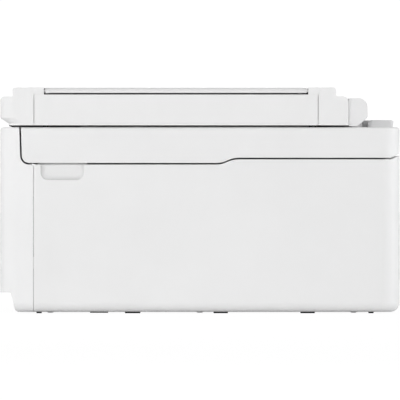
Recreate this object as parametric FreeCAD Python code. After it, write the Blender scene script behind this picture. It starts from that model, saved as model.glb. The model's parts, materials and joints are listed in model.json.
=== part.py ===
"""All-in-one inkjet printer with a document feeder, as an assembly of separate sub-parts.

Units are millimetres. +X is the printer's right (seen from its front), +Y runs from front to rear
and +Z is up. The origin is the middle of the footprint, at the level of the surface it stands on.
"""

import math
import os

import FreeCAD
import Part

os.makedirs("parts", exist_ok=True)
V = FreeCAD.Vector

# ---- driving dimensions: the outer case -------------------------------------------------
WIDTH = 434.0
DEPTH = 362.0
FOOT = 1.4  # the rubber feet hold the case this far off the table
DECK_Z = 168.7  # top of the scanner frame and of the front fascia
WALL = 2.6
CORNER = 16.0  # plan radius of the four vertical corners
BELLY = 8.0  # radius of the bottom edge
SEAM = 1.5  # visible gap between the scanner unit and the case below it
SEAM_FRONT_Z = 136.4
SEAM_REAR_Z = 141.1
SPLIT_Y = -150.7  # where the front fascia meets the side covers
HAIRLINE = 0.3  # a tight joint between two covers
TOE_Z = 19.0  # the front is stepped back below this
TOE_Y = -171.3
GRIP_DEPTH = 7.5  # of the finger recesses

# ---- driving dimensions: the lid --------------------------------------------------------
LID_Z = 170.5
LIP_Z = (172.2, 177.2)  # the front leans outwards between these heights
LIP_Y = -173.4
LID_MAIN_Z = 196.8
LID_TOP_Z = 204.9
LID_CORNER = 14.0  # plan radius of the lid's front corners
LID_REAR_Y = 134.8
HUMP_REAR_Y = 152.2
HUMP_Z = (169.7, 195.2)
RECESS_Z = 198.4  # ledge that the feeder covers close over
RECESS_Y = (-141.2, 98.3)
FEEDER_X = -78.0  # line between the feeder cover and the tray cover

# ---- driving dimensions: joint axes -----------------------------------------------------
SCANNER_AXIS = (176.5, 148.0)  # (y, z)
LID_AXIS = (143.0, 181.0)
TRAY_COVER_AXIS = (211.6, 201.6)  # (x, z)
FEEDER_COVER_AXIS = (-211.9, 201.7)
REAR_DOOR_AXIS = (177.0, 24.0)
PICK_AXIS = (30.0, 58.0)
STOP_AXIS = (-172.5, 52.2)
LATCH_AXIS = (17.2, 106.0)

# ---- driving dimensions: print engine ---------------------------------------------------
PLATE_X = (-168.0, 209.0)  # left faces of the two sheet-steel end plates
SHEET = 1.5
ROD_Y, ROD_Z, ROD_R = 88.0, 112.0, 4.0
RUNNING = 0.06  # radial clearance of a shaft in its bore
MODULE = 1.0  # of every gear in the paper drive
FEED_TEETH, IDLER_TEETH, PINION_TEETH = 30, 36, 10
FEED_Y, FEED_Z, FEED_R = 76.0, 73.0, 7.0
IDLER_Y = FEED_Y - MODULE * (FEED_TEETH + IDLER_TEETH) / 2
EXIT_Y = IDLER_Y - MODULE * (FEED_TEETH + IDLER_TEETH) / 2  # the exit gear equals the feed gear
PINION_REACH = MODULE * (FEED_TEETH + PINION_TEETH) / 2
PINION_Y = FEED_Y + PINION_REACH / math.sqrt(2)
PINION_Z = FEED_Z - PINION_REACH / math.sqrt(2)
CARRIAGE_X = (133.0, 207.0)
CARTRIDGE_X = {"cartridge_color": 137.0, "cartridge_black": 171.5}  # left side of each bay
BELT_Y = (98.0, 103.0)
PULLEY_R = 6.0
PULLEY_X = (-152.0, 198.0)

HALF_W = WIDTH / 2
HALF_D = DEPTH / 2


# ---- helpers ----------------------------------------------------------------------------
def box(x0, x1, y0, y1, z0, z1):
    return Part.makeBox(x1 - x0, y1 - y0, z1 - z0, V(x0, y0, z0))


def cyl_x(y, z, r, x0, x1):
    return Part.makeCylinder(r, x1 - x0, V(x0, y, z), V(1, 0, 0))


def cyl_y(x, z, r, y0, y1):
    return Part.makeCylinder(r, y1 - y0, V(x, y0, z), V(0, 1, 0))


def cyl_z(x, y, r, z0, z1):
    return Part.makeCylinder(r, z1 - z0, V(x, y, z0), V(0, 0, 1))


def fuse(*shapes):
    """One shape from several, with the seams between them removed."""
    whole = shapes[0].multiFuse(list(shapes[1:])) if len(shapes) > 1 else shapes[0]
    return whole.removeSplitter()


def cut(shape, *tools):
    return shape.cut(list(tools))


def outline(corners, place):
    """A face whose outline runs through corners (u, v, radius), with tangent arcs at the corners."""
    stops = []
    for i, (u, v, radius) in enumerate(corners):
        point = V(u, v, 0)
        if radius <= 0:
            stops.append((point, None, point))
            continue
        back = V(*corners[i - 1][:2], 0) - point
        ahead = V(*corners[(i + 1) % len(corners)][:2], 0) - point
        back.normalize()
        ahead.normalize()
        half = back.getAngle(ahead) / 2
        middle = back + ahead
        middle.normalize()
        reach = radius / math.tan(half)
        stops.append(
            (
                point + back * reach,
                point + middle * (radius / math.sin(half) - radius),
                point + ahead * reach,
            )
        )
    edges = []
    for (start, mid, end), following in zip(stops, stops[1:] + stops[:1]):
        if mid is not None:
            edges.append(Part.Arc(place(start), place(mid), place(end)).toShape())
        if (following[0] - end).Length > 1e-6:
            edges.append(Part.LineSegment(place(end), place(following[0])).toShape())
    return Part.Face(Part.Wire(edges))


def prism_x(corners, x0, x1):
    """Corners are (y, z, radius)."""
    return outline(corners, lambda p: V(x0, p.x, p.y)).extrude(V(x1 - x0, 0, 0))


def prism_y(corners, y0, y1):
    """Corners are (x, z, radius)."""
    return outline(corners, lambda p: V(p.x, y0, p.y)).extrude(V(0, y1 - y0, 0))


def prism_z(corners, z0, z1):
    """Corners are (x, y, radius)."""
    return outline(corners, lambda p: V(p.x, p.y, z0)).extrude(V(0, 0, z1 - z0))


def rounded_box(x0, x1, y0, y1, z0, z1, r):
    """A box whose four vertical edges have radius r."""
    return prism_z([(x0, y0, r), (x1, y0, r), (x1, y1, r), (x0, y1, r)], z0, z1)


def rounded_slab_y(x0, x1, y0, y1, z0, z1, r):
    """A box whose four edges along Y have radius r."""
    return prism_y([(x0, z0, r), (x1, z0, r), (x1, z1, r), (x0, z1, r)], y0, y1)


def fillet_level(shape, z, r):
    """Rounds every edge that lies wholly at height z."""
    level = [e for e in shape.Edges if abs(e.BoundBox.ZMin - z) + abs(e.BoundBox.ZMax - z) < 1e-4]
    return shape.makeFillet(r, level)


def mirrored(shape):
    """The same shape on the other side of the middle plane."""
    return shape.mirror(V(0, 0, 0), V(1, 0, 0))


def spur_gear(teeth, bore, width, turn=0.0):
    """An involute gear on the X axis at the origin, from x = 0 to width, bored through."""
    pitch_r = MODULE * teeth / 2
    base_r = pitch_r * math.cos(math.radians(20))
    tip_r = pitch_r + 0.85 * MODULE
    root_r = pitch_r - 1.25 * MODULE
    backlash = 0.14
    half_pitch = math.pi / (2 * teeth) - backlash / (2 * pitch_r)

    def involute(r):
        ratio = min(1.0, base_r / r)
        return math.tan(math.acos(ratio)) - math.acos(ratio)

    def spot(r, angle):
        return V(0, r * math.cos(angle), r * math.sin(angle))

    foot_r = max(base_r, root_r + 0.05)
    radii = [foot_r + (tip_r - foot_r) * k / 4 for k in range(5)]
    points = []
    for tooth in range(teeth):
        middle = turn + 2 * math.pi * tooth / teeth
        spread = [half_pitch + involute(pitch_r) - involute(r) for r in radii]
        points.append(spot(root_r, middle - spread[0]))
        points += [spot(r, middle - s) for r, s in zip(radii, spread)]
        points += [spot(r, middle + s) for r, s in zip(reversed(radii), reversed(spread))]
        points.append(spot(root_r, middle + spread[0]))
    wire = Part.makePolygon(points + points[:1])
    gear = Part.Face(wire).extrude(V(width, 0, 0))
    return cut(gear, cyl_x(0, 0, bore, -1, width + 1))


def meshed(teeth, turn, towards, other_teeth):
    """The turn of a gear that lies in direction towards (radians, from +Y to +Z) of another."""
    phase = (towards - turn) * teeth / (2 * math.pi) % 1.0
    return towards + math.pi + (0.5 + phase) * 2 * math.pi / other_teeth


def moved(shape, x, y, z):
    shape = shape.copy()
    shape.translate(V(x, y, z))
    return shape


def save(name, *solids):
    """Writes one sub-part; several solids of one name are identical pieces or a matched group."""
    shape = solids[0] if len(solids) == 1 else Part.makeCompound(list(solids))
    for solid in shape.Solids:
        if not solid.isValid() or solid.Volume <= 0:
            raise ValueError("bad solid in " + name)
    if len(shape.Solids) == 1:
        shape = shape.Solids[0]
    shape.exportStep("parts/" + name + ".step")


# ---- the case as one envelope, from which the covers are divided --------------------------
def case_solid(inset):
    """The case's outer surface moved inwards by inset: feet, lid and seams are not in it."""
    w, d, r = HALF_W - inset, HALF_D - inset, CORNER - inset
    low, high = FOOT + inset, DECK_Z - inset
    body = rounded_box(-w, w, -d, d, low, high, r)
    body = fillet_level(body, low, BELLY - inset)
    if inset < 2:
        body = fillet_level(body, high, 2.2 - inset)
    toe = prism_x(
        [
            (-HALF_D - 20, low - 10, 0),
            (-HALF_D - 20, TOE_Z + inset, 0),
            (TOE_Y + inset, TOE_Z + inset, 1.2),
            (TOE_Y + 4.1 + inset, low, 4.0),
            (TOE_Y + 30, low, 0),
            (TOE_Y + 30, low - 10, 0),
        ],
        -WIDTH,
        WIDTH,
    )
    return cut(body, toe)


def above_seam(offset):
    """Everything on the scanner unit's side of the seam, grown outwards by offset."""
    top = DECK_Z + 30
    return prism_x(
        [
            (-163.1 - offset, top, 0),
            (-161.0 - offset, SEAM_FRONT_Z - offset, 6.5 + offset),
            (19.5, SEAM_FRONT_Z - offset, 20),
            (31.0, SEAM_REAR_Z - offset, 20),
            (173.5, SEAM_REAR_Z - offset, 8),
            (190.0, SEAM_REAR_Z + 8.8 - 1.6 * offset, 0),
            (190.0, top, 0),
        ],
        -WIDTH,
        WIDTH,
    )


def grip_pocket(grow):
    """The finger recess under the scanner unit's right edge, grown outwards by grow."""
    low, high = 120.8 - grow, SEAM_REAR_Z + 8
    front, rear = -144.3 - grow, -105.3 + grow
    r = 6.5 + grow
    pocket = prism_x(
        [(front, high, 0), (front, low, r), (rear, low, r), (rear, high, 0)],
        HALF_W - GRIP_DEPTH - grow,
        HALF_W + 5,
    )
    inner = [e for e in pocket.Edges if abs(e.BoundBox.XMax - (HALF_W - GRIP_DEPTH - grow)) < 1e-4]
    low_edges = [e for e in inner if e.BoundBox.ZMin < high - 1]
    return pocket.makeFillet(4.5, low_edges)


def covers():
    """Front fascia, two side covers, rear cover and the bottom chassis."""
    shell = cut(case_solid(0), case_solid(WALL), above_seam(SEAM))

    # Front fascia, with one opening for the paper tray and the output, and cut-outs in its panel.
    fascia = shell.common(box(-HALF_W - 5, HALF_W + 5, -HALF_D - 5, SPLIT_Y - HAIRLINE / 2, 0, 200))
    mouth = rounded_slab_y(-134, 134, -HALF_D - 5, SPLIT_Y + 5, -20, 108, 8)
    floor = box(-134, 134, -HALF_D - 5, TOE_Y + 30, -20, FOOT + WALL)
    display = rounded_slab_y(-194, -116, -HALF_D - 1, -HALF_D + 5, 115.5, 158.5, 3)
    button = cyl_y(-98, 137, 6.4, -HALF_D - 1, -HALF_D + 5)
    light = rounded_slab_y(-60, 60, -HALF_D - 1, -HALF_D + 5, 111.4, 113.4, 0.9)
    fascia = cut(fascia, cut(mouth, floor), display, button, light)
    save("front_fascia", fascia)

    # Side covers wrap the rear corners and carry the finger recesses for lifting the scanner unit.
    zone = fuse(
        box(203, HALF_W + 5, SPLIT_Y + HAIRLINE / 2, HALF_D + 5, 0, 200),
        box(151, HALF_W + 5, 168, HALF_D + 5, 0, 200),
    )
    side = shell.common(zone)
    cup = cut(grip_pocket(1.8).common(case_solid(0)), above_seam(SEAM))
    side = cut(fuse(side, cup), grip_pocket(0))
    save("side_cover_right", side)
    inlet = rounded_slab_y(-198.2, -175.8, HALF_D - 5, HALF_D + 5, 15.8, 34.2, 2)
    usb = box(-200.5, -188.1, HALF_D - 5, HALF_D + 5, 59.5, 70.9)
    save("side_cover_left", cut(mirrored(side), inlet, usb))

    # Rear cover with the door opening and a louvred vent.
    rear = shell.common(box(-150.7, 150.7, 168, HALF_D + 5, 0, 200))
    doorway = rounded_slab_y(-125.8, 125.8, HALF_D - 5, HALF_D + 5, 18.5, 92, 3)
    vents = [
        rounded_slab_y(-120 + 9 * k, -115.5 + 9 * k, HALF_D - 5, HALF_D + 5, 106, 124, 2)
        for k in range(12)
    ]
    hinge_room = [box(x, x + 18, HALF_D - 12, HALF_D + 5, 130, 160) for x in (-149, 131)]
    rear = cut(rear, doorway, *vents, *hinge_room)
    save("rear_cover", fuse(rear, *hinge_brackets()))

    # Bottom chassis: floor, tray rails and the bracket that carries the rollers' right-hand ends.
    floor = shell.common(box(-202.7, 202.7, SPLIT_Y + HAIRLINE / 2, 167.7, 0, 20))
    rails = [box(x, x + 1.6, -149, 120, FOOT + WALL, 9) for x in (-127.2, 125.6)]
    bearing = cut(
        box(128, 131, 3, 92, FOOT + WALL, 80),
        cyl_x(FEED_Y, FEED_Z, ROD_R + RUNNING, 120, 140),
        cyl_x(EXIT_Y, FEED_Z, 3 + RUNNING, 120, 140),
        cyl_x(*PICK_AXIS, 3 + RUNNING, 120, 140),
    )
    save("base_chassis", fuse(floor, *rails, bearing))


def hinge_brackets():
    """Two brackets on the rear cover, each with a pin that the scanner unit turns on."""
    y, z = SCANNER_AXIS
    made = []
    for sign in (-1, 1):
        x = sign * 140
        post = box(x - 4, x + 4, 173.6, 179.0, 118, z - 1)
        barrel = cyl_x(y, z, 4.2, x - 4, x + 4)
        pin = cyl_x(y, z, 2.2, x - 13, x + 13)
        made += [post, barrel, pin]
    return made


def rubber_feet():
    """Four round corner feet, six pads, and a thin strip near the front on each side."""
    made = [cyl_z(x, y, 2.4, 0, FOOT) for x in (-197, 197) for y in (-145.9, 155.5)]
    for x in (-192, 192):
        for y, length in ((-61, 14), (19, 13), (98, 13)):
            made.append(rounded_box(x - 7, x + 7, y - length / 2, y + length / 2, 0, FOOT, 2))
        made.append(rounded_box(x - 7, x + 7, -99.7, -83.3, 0.4, FOOT, 2))
    save("rubber_feet", *made)


# ---- front panel --------------------------------------------------------------------------
def front_panel():
    glass = rounded_slab_y(-193.7, -116.3, -HALF_D + 0.1, -HALF_D + 1.6, 115.8, 158.2, 2.8)
    glass = fuse(glass, box(-190, -120, -HALF_D + 1.6, -HALF_D + 3.2, 119, 155))
    save("touch_display", glass)
    cap = cyl_y(-98, 137, 6.0, -HALF_D + 0.2, -HALF_D + 4.0)
    cap = fuse(cap, cyl_y(-98, 137, 2.0, -HALF_D + 4.0, -175.4))
    save("power_button", cap)


# ---- paper tray and output tray -----------------------------------------------------------
def paper_tray():
    floor = box(-124, 124, -167.4, 141, 6.0, 8.0)
    sides = [box(x, x + 2.4, -167.4, 141, 6.0, 38.0) for x in (-124, 121.6)]
    front = box(-124, 124, -167.4, -165, 6.0, 38.0)
    rear = prism_x([(133, 6, 0), (141, 6, 0), (141, 22, 0), (138.4, 22, 0)], -124, 124)
    tray = fuse(floor, *sides, front, rear)
    slots = [box(x0, x1, -92, -89, 5, 9) for x0, x1 in ((-84, -28), (28, 84))]
    slots.append(box(-1.5, 1.5, -150, -20, 5, 9))
    save("paper_tray", cut(tray, *slots))

    front = cut(case_solid(0), case_solid(3.0))
    front = front.common(box(-132.7, 132.7, -HALF_D - 5, -160, 5.2, 49.5))
    front = cut(front, box(-140, 140, -168.1, -150, 0, 21.5))
    notch = rounded_slab_y(-38, 38, -HALF_D - 3, -160, 39.5, 70, 7)
    arms = [box(x, x + 4, -178.4, -167.5, 26, 36) for x in (-118, 114)]
    lip = box(-130, 130, -178.4, -167.5, 22.1, 24.1)
    front = cut(front, notch)
    save("tray_front", fuse(front, *arms, lip))


def paper_guides():
    """Two coupled side guides, and the end guide at the front of the tray."""
    base = box(72, 120.5, -96, -20, 8.2, 9.8)
    fence = box(109.3, 111.3, -96, -20, 9.8, 33)
    brace = [(111.3, 9.8, 0), (119, 9.8, 0), (111.3, 30, 0)]
    ribs = [prism_y(brace, y, y + 1.6) for y in (-84, -60, -34)]
    peg = box(76, 82, -91.6, -89.4, 6.2, 9.8)
    right = fuse(base, fence, *ribs, peg)
    save("width_guide_right", right)
    save("width_guide_left", mirrored(right))
    foot = box(-22, 22, -163, -120, 8.2, 9.8)
    fence = box(-22, 22, -158, -156, 9.8, 32)
    rib = prism_x([(-163, 9.8, 0), (-158, 9.8, 0), (-158, 30, 0)], -1, 1)
    peg = box(-1.2, 1.2, -148, -122, 6.2, 8.2)
    save("length_guide", fuse(foot, fence, rib, peg))


def output_tray():
    top = 56.2
    floor = prism_x(
        [
            (-179.6, top, 0.6),
            (-179.6, top - 1.6, 0.6),
            (-42, top - 1.6, 4),
            (1, 65.4, 0),
            (1, 67.0, 0),
            (-42, top, 4),
        ],
        -131.5,
        131.5,
    )
    sides = [box(x, x + 2, -177.0, 1, top - 1, 106) for x in (-131.5, 129.5)]
    rails = [box(x, x + 2, -176.0, -50, 50.2, top - 1) for x in (-62.6, 60.6)]
    roof = box(-131.5, 131.5, -177.0, -42, 104, 106)
    tray = fuse(floor, *sides, *rails, roof)
    notch = rounded_box(-41, 41, -190, -132, 50, 60, 3)
    save("output_tray", cut(tray, notch))

    plate = rounded_box(-60, 60, -178.8, -50, 50.2, 51.8, 4)
    well = rounded_box(-38.8, 38.8, -175.6, -133.6, 51.8, 54.2, 2)
    socket = fuse(
        box(-36.6, 36.6, -174.8, -134.6, 51.2, 60),
        cyl_x(STOP_AXIS[0] - 0.2, STOP_AXIS[1], 3.0, -36.6, 36.6),
    )
    lugs = [box(x, x + 2.2, -175.6, -169, 51.8, 54.2) for x in (-38.8, 36.6)]
    plate = fuse(cut(fuse(plate, well), socket), *lugs)
    bores = [cyl_x(*STOP_AXIS, 0.8 + RUNNING, x0, x1) for x0, x1 in ((-38.9, -36.5), (36.5, 38.9))]
    save("output_extension", cut(plate, *bores))

    y, z = STOP_AXIS
    tip = -135.0
    leaf = [(y, z - 0.7, 0), (tip, z - 0.7, 0.4), (tip, z + 0.9, 0.4), (y, z + 1.3, 0)]
    flap = prism_x(leaf, -36.2, 36.2)
    barrel = cyl_x(y, z, 1.5, -36.2, 36.2)
    pin = cyl_x(y, z, 0.8, -38.4, 38.4)
    save("output_stop", fuse(flap, barrel, pin))


# ---- print engine -------------------------------------------------------------------------
def engine_frame():
    x0, x1 = PLATE_X
    corners = [(0, 8, 0), (110, 8, 0), (110, 128, 6), (16, 128, 6), (0, 96, 6)]
    left = prism_x(corners, x0, x0 + SHEET)
    right = prism_x(corners, x1, x1 + SHEET)
    foot_z = FOOT + WALL
    tabs = [box(x0, x0 + 12, y, y + 12, foot_z, foot_z + SHEET) for y in (20, 80)]
    tabs += [box(x0, x0 + SHEET, y, y + 12, foot_z, 9) for y in (20, 80)]
    web = box(x0, x1 + SHEET, 106, 106 + SHEET, 88, 126)
    flange = box(x0, x1 + SHEET, 96, 106 + SHEET, 126, 126 + SHEET)
    axle = cyl_y(PULLEY_X[1], ROD_Z, 2.0, 96.8, 107)
    stub = cyl_x(IDLER_Y, FEED_Z, 2.5, x0 - 8.6, x0 + 1)
    stay_guide = cut(box(x0 - 22, x0, 52, 80, 112, 128), stay_band(0.7, 0.7))
    frame = fuse(left, right, *tabs, web, flange, axle, stub, stay_guide)
    frame = cut(
        frame,
        cyl_x(ROD_Y, ROD_Z, ROD_R + 0.02, x0 - 1, x1 + 5),
        cyl_x(FEED_Y, FEED_Z, ROD_R + RUNNING, x0 - 1, x0 + 3),
        cyl_x(EXIT_Y, FEED_Z, 3 + RUNNING, x0 - 1, x0 + 3),
        cyl_x(*PICK_AXIS, 3 + RUNNING, x0 - 1, x0 + 3),
        cyl_x(PINION_Y, PINION_Z, 3.5, x0 - 1, x0 + 3),
        cyl_y(PULLEY_X[0], ROD_Z, 4.0, 100, 110),
    )
    save("engine_frame", frame)
    save("guide_rod", cyl_x(ROD_Y, ROD_Z, ROD_R, x0 - 3, x1 + 3))


def carriage_drive():
    x0, x1 = PULLEY_X
    inner, outer = PULLEY_R + 0.1, PULLEY_R + 1.4

    def loop(r, y0, y1):
        z = ROD_Z
        return fuse(
            box(x0, x1, y0, y1, z - r, z + r), cyl_y(x0, z, r, y0, y1), cyl_y(x1, z, r, y0, y1)
        )

    save("carriage_belt", cut(loop(outer, *BELT_Y), loop(inner, BELT_Y[0] - 1, BELT_Y[1] + 1)))
    wheel = fuse(
        cyl_y(0, 0, PULLEY_R, BELT_Y[0] - 0.2, BELT_Y[1] + 0.2),
        cyl_y(0, 0, PULLEY_R + 2.4, BELT_Y[0] - 1.2, BELT_Y[0] - 0.2),
    )
    rim_slots = [
        cyl_y(4.2 * math.cos(a), 4.2 * math.sin(a), 0.8, 90, 110)
        for a in (math.radians(120 * k) for k in range(3))
    ]
    wheel = cut(wheel, *rim_slots)
    drive = fuse(moved(wheel, x0, 0, ROD_Z), cyl_y(x0, ROD_Z, 2.5, BELT_Y[1], 108.5))
    save("motor_pulley", drive)
    save("idler_pulley", cut(moved(wheel, x1, 0, ROD_Z), cyl_y(x1, ROD_Z, 2.0 + RUNNING, 90, 110)))
    can = fuse(
        cyl_y(x0, ROD_Z, 14.0, 109.0, 136),
        cyl_y(x0, ROD_Z, 5.0, 136, 139),
        rounded_slab_y(x0 - 10, x0 + 10, 107.6, 109.0, ROD_Z - 14, ROD_Z + 14, 3),
    )
    save("carriage_motor", cut(can, cyl_y(x0, ROD_Z, 2.5 + 0.3, 107, 109)))


def carriage():
    x0, x1 = CARRIAGE_X
    shell = box(x0, x1, 20, 66, 86, 128)
    rear = box(x0, x1, 66, 80, 98, 124)
    boss = cyl_x(ROD_Y, ROD_Z, 8.5, x0, x1)
    bridge = box(x0, x1, 79, ROD_Y, ROD_Z - 8.5, ROD_Z + 8.5)
    clamp = box(160, 180, 90, 104.6, 102.6, 121.4)
    body = fuse(shell, rear, boss, bridge, clamp)
    runs = [box(150, 190, 96.6, 110, ROD_Z + s * 6.75 - 1.2, ROD_Z + s * 6.75 + 1.2) for s in (-1, 1)]
    bays = []
    for left in CARTRIDGE_X.values():
        bays.append(box(left, left + 31.5, 24, 62, 90, 140))
        bays.append(box(left + 3.5, left + 28, 30, 56, 80, 92))
    body = cut(body, cyl_x(ROD_Y, ROD_Z, ROD_R + RUNNING, 120, 220), *runs, *bays)
    y, z = LATCH_AXIS
    ears = []
    bores = []
    for left in CARTRIDGE_X.values():
        ears += [box(x, x + 2, y - 2.2, 20, z - 2.2, z + 2.2) for x in (left + 1.5, left + 28)]
        bores.append(cyl_x(y, z, 1.2 + RUNNING, left, left + 31.5))
    save("carriage", cut(fuse(body, *ears), *bores))


def cartridges():
    """Two ink cartridges and the front latch that holds each in its bay."""
    y, z = LATCH_AXIS
    for name, left in CARTRIDGE_X.items():
        hull = rounded_box(left + 0.6, left + 30.9, 24.6, 61.4, 90.3, 127, 2)
        snout = box(left + 4.1, left + 27.4, 30.6, 55.4, 83, 90.3)
        grip = box(left + 6, left + 25.5, 24.6, 30, 127, 130)
        plate = box(left + 8, left + 23.5, 34, 52, 82.2, 83)
        save(name, fuse(hull, snout, grip, plate))
        lever = prism_x(
            [
                (y - 1.6, z, 0),
                (y + 1.6, z, 0),
                (y + 1.6, 125, 1.0),
                (y - 3.4, 126.5, 1.0),
                (y - 1.6, 118, 2),
            ],
            left + 3.8,
            left + 27.7,
        )
        barrel = cyl_x(y, z, 1.6, left + 3.8, left + 27.7)
        pin = cyl_x(y, z, 1.2, left + 1.8, left + 29.7)
        save(name.replace("cartridge", "latch"), fuse(lever, barrel, pin))


def paper_drive():
    x0 = PLATE_X[0]
    # Phases are set so that a tooth of one gear faces a gap of the next on each line of centres.
    idler_turn = meshed(FEED_TEETH, 0.0, math.pi, IDLER_TEETH)
    exit_turn = meshed(IDLER_TEETH, idler_turn, math.pi, FEED_TEETH)
    pinion_turn = meshed(FEED_TEETH, 0.0, -math.pi / 4, PINION_TEETH)
    gear_x = x0 - 7.2
    width = 5.0
    shaft = cyl_x(FEED_Y, FEED_Z, ROD_R, x0 - 9, 130.5)
    rubber = cyl_x(FEED_Y, FEED_Z, FEED_R, -119, 119)
    feed_gear = moved(spur_gear(FEED_TEETH, ROD_R - 1, width), gear_x, FEED_Y, FEED_Z)
    save("feed_roller", fuse(shaft, rubber, feed_gear))
    idler = spur_gear(IDLER_TEETH, 2.5 + RUNNING, width, idler_turn)
    save("idler_gear", moved(idler, gear_x, IDLER_Y, FEED_Z))

    wheels = [cyl_x(EXIT_Y, FEED_Z, FEED_R, x - 6, x + 6) for x in range(-100, 101, 40)]
    exit_gear = moved(spur_gear(FEED_TEETH, 2.0, width, exit_turn), gear_x, EXIT_Y, FEED_Z)
    save("exit_roller", fuse(cyl_x(EXIT_Y, FEED_Z, 3.0, x0 - 8, 130.5), *wheels, exit_gear))

    shaft = cyl_x(PINION_Y, PINION_Z, 2.0, gear_x, x0 + 1.7)
    pinion = moved(spur_gear(PINION_TEETH, 1.0, width, pinion_turn), gear_x, PINION_Y, PINION_Z)
    save("motor_pinion", fuse(pinion, shaft))
    can = cyl_x(PINION_Y, PINION_Z, 12.4, x0 + 1.8, x0 + 29)
    save("feed_motor", fuse(can, cyl_x(PINION_Y, PINION_Z, 4, x0 + 29, x0 + 31)))


def platen():
    bar = box(PLATE_X[0] + SHEET + 0.2, 127.6, 24, 66, 68, 76)
    ribs = [box(x - 0.6, x + 0.6, 24, 64, 76, 79.8) for x in range(-112, 113, 16)]
    save("platen", fuse(bar, *ribs))


def pick_unit():
    y, z = PICK_AXIS
    ry, rz, reach = 105.0, 48.0, 7.0
    shaft = cyl_x(y, z, 3.0, PLATE_X[0] - 1.2, 130.5)
    link = [(y - 6, z - 5, 4), (ry + reach, rz - 5.4, 4), (ry + reach, rz + 6, 4), (y - 6, z + 7, 4)]
    cheeks = [prism_x(link, x, x + 3) for x in (-13, 10)]
    cover = [(y + 4, z + 2.2, 0), (88, rz + 5.2, 0), (88, rz + 7.4, 0), (y + 4, z + 6.0, 0)]
    roof = prism_x(cover, -13, 13)
    arm = cut(fuse(shaft, *cheeks, roof), cyl_x(ry, rz, 2.0 + RUNNING, -20, 20))
    save("pick_arm", arm)
    roller = fuse(cyl_x(ry, rz, 10, -9, 9), cyl_x(ry, rz, 2.0, -13, 13))
    save("pick_roller", roller)


def turn_guide():
    """Drum that the sheet turns around at the rear, with its upper deck and side legs."""
    drum = cut(cyl_x(132, 52, 26, -118, 118), box(-120, 120, 100, 132, 20, 90))
    drum = cut(drum, cut(cyl_x(132, 52, 23.5, -115.5, 115.5), box(-120, 120, 100, 134.5, 20, 90)))
    deck = box(-118, 118, 88, 134.6, 75.6, 78)
    legs = [box(x, x + 2.5, 143, 156, FOOT + WALL, 62) for x in (-120.5, 118)]
    save("turn_guide", fuse(drum, deck, *legs))


def service_station():
    low = FOOT + WALL + 0.2
    tub = fuse(box(134.5, 199.5, 20, 72, low, 60), box(199.5, 206.5, 20, 72, 24.4, 60))
    tub = cut(tub, box(136.5, 204.5, 22, 70, 42, 70))
    save("service_station", tub)
    sled = box(138, 203, 24, 68, 52, 70)
    caps = []
    for left in CARTRIDGE_X.values():
        outer = rounded_box(left + 6, left + 25.5, 32, 54, 70, 81.8, 3)
        caps.append(cut(outer, rounded_box(left + 8, left + 23.5, 34, 52, 74, 90, 2)))
        caps.append(box(left + 6, left + 25.5, 60, 61.2, 70, 81.8))
    save("service_sled", fuse(sled, *caps))


def electronics():
    brick = rounded_box(-199, -174.4, 74, 158.5, FOOT + WALL + 0.2, 46, 2)
    save("power_supply", brick)
    inlet = rounded_slab_y(-197.9, -176.1, 158.8, HALF_D - 0.2, 16.1, 33.9, 1.8)
    cavity = rounded_slab_y(-195.3, -178.7, 167, HALF_D + 1, 19.3, 30.7, 4.5)
    pins = [cyl_y(x, 25, 1.3, 166, 175.5) for x in (-191.3, -182.7)]
    save("power_inlet", fuse(cut(inlet, cavity), *pins))
    shell = box(-200.2, -188.4, 164, HALF_D - 0.3, 59.8, 70.6)
    cavity = box(-198.9, -189.7, 166, HALF_D + 1, 61.1, 69.3)
    tongue = box(-196.9, -191.7, 165, 174.0, 63.9, 66.5)
    save("usb_port", fuse(cut(shell, cavity), tongue))


def rear_door():
    y, z = REAR_DOOR_AXIS
    skin = cut(case_solid(0), case_solid(WALL)).common(
        rounded_slab_y(-125, 125, HALF_D - 6, HALF_D + 5, 19.6, 91.2, 2.5)
    )
    swept = cut(box(-130, 130, HALF_D - 10, HALF_D + 5, 10, z), cyl_x(y, z, 5.2, -131, 131))
    grip = rounded_slab_y(-22, 22, HALF_D - 1.4, HALF_D + 5, 76, 88, 4)
    centre = (132, 52)
    band = cut(
        cyl_x(*centre, 35.5, -116, 116),
        cyl_x(*centre, 33.0, -117, 117),
        prism_x([(132, 52, 0), (182, 18, 0), (182, -20, 0), (80, -20, 0), (80, 52, 0)], -120, 120),
        prism_x([(132, 52, 0), (172, 98, 0), (172, 120, 0), (80, 120, 0), (80, 52, 0)], -120, 120),
    )
    webs = [
        cut(box(x - 1, x + 1, 148, HALF_D - 2, 31, 78), cyl_x(*centre, 34, -130, 130))
        for x in (-112, -56, 0, 56, 112)
    ]
    knuckles = [cyl_x(y, z, 3.4, x - 5, x + 5) for x in (-105, 105)]
    save("rear_door", fuse(cut(skin, swept, grip), band, *webs, *knuckles))


# ---- scanner unit -------------------------------------------------------------------------
def plan(inset, z0, z1):
    """The case's plan outline moved inwards by inset, as a prism."""
    w, d = HALF_W - inset, HALF_D - inset
    return rounded_box(-w, w, -d, d, z0, z1, CORNER - inset)


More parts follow.
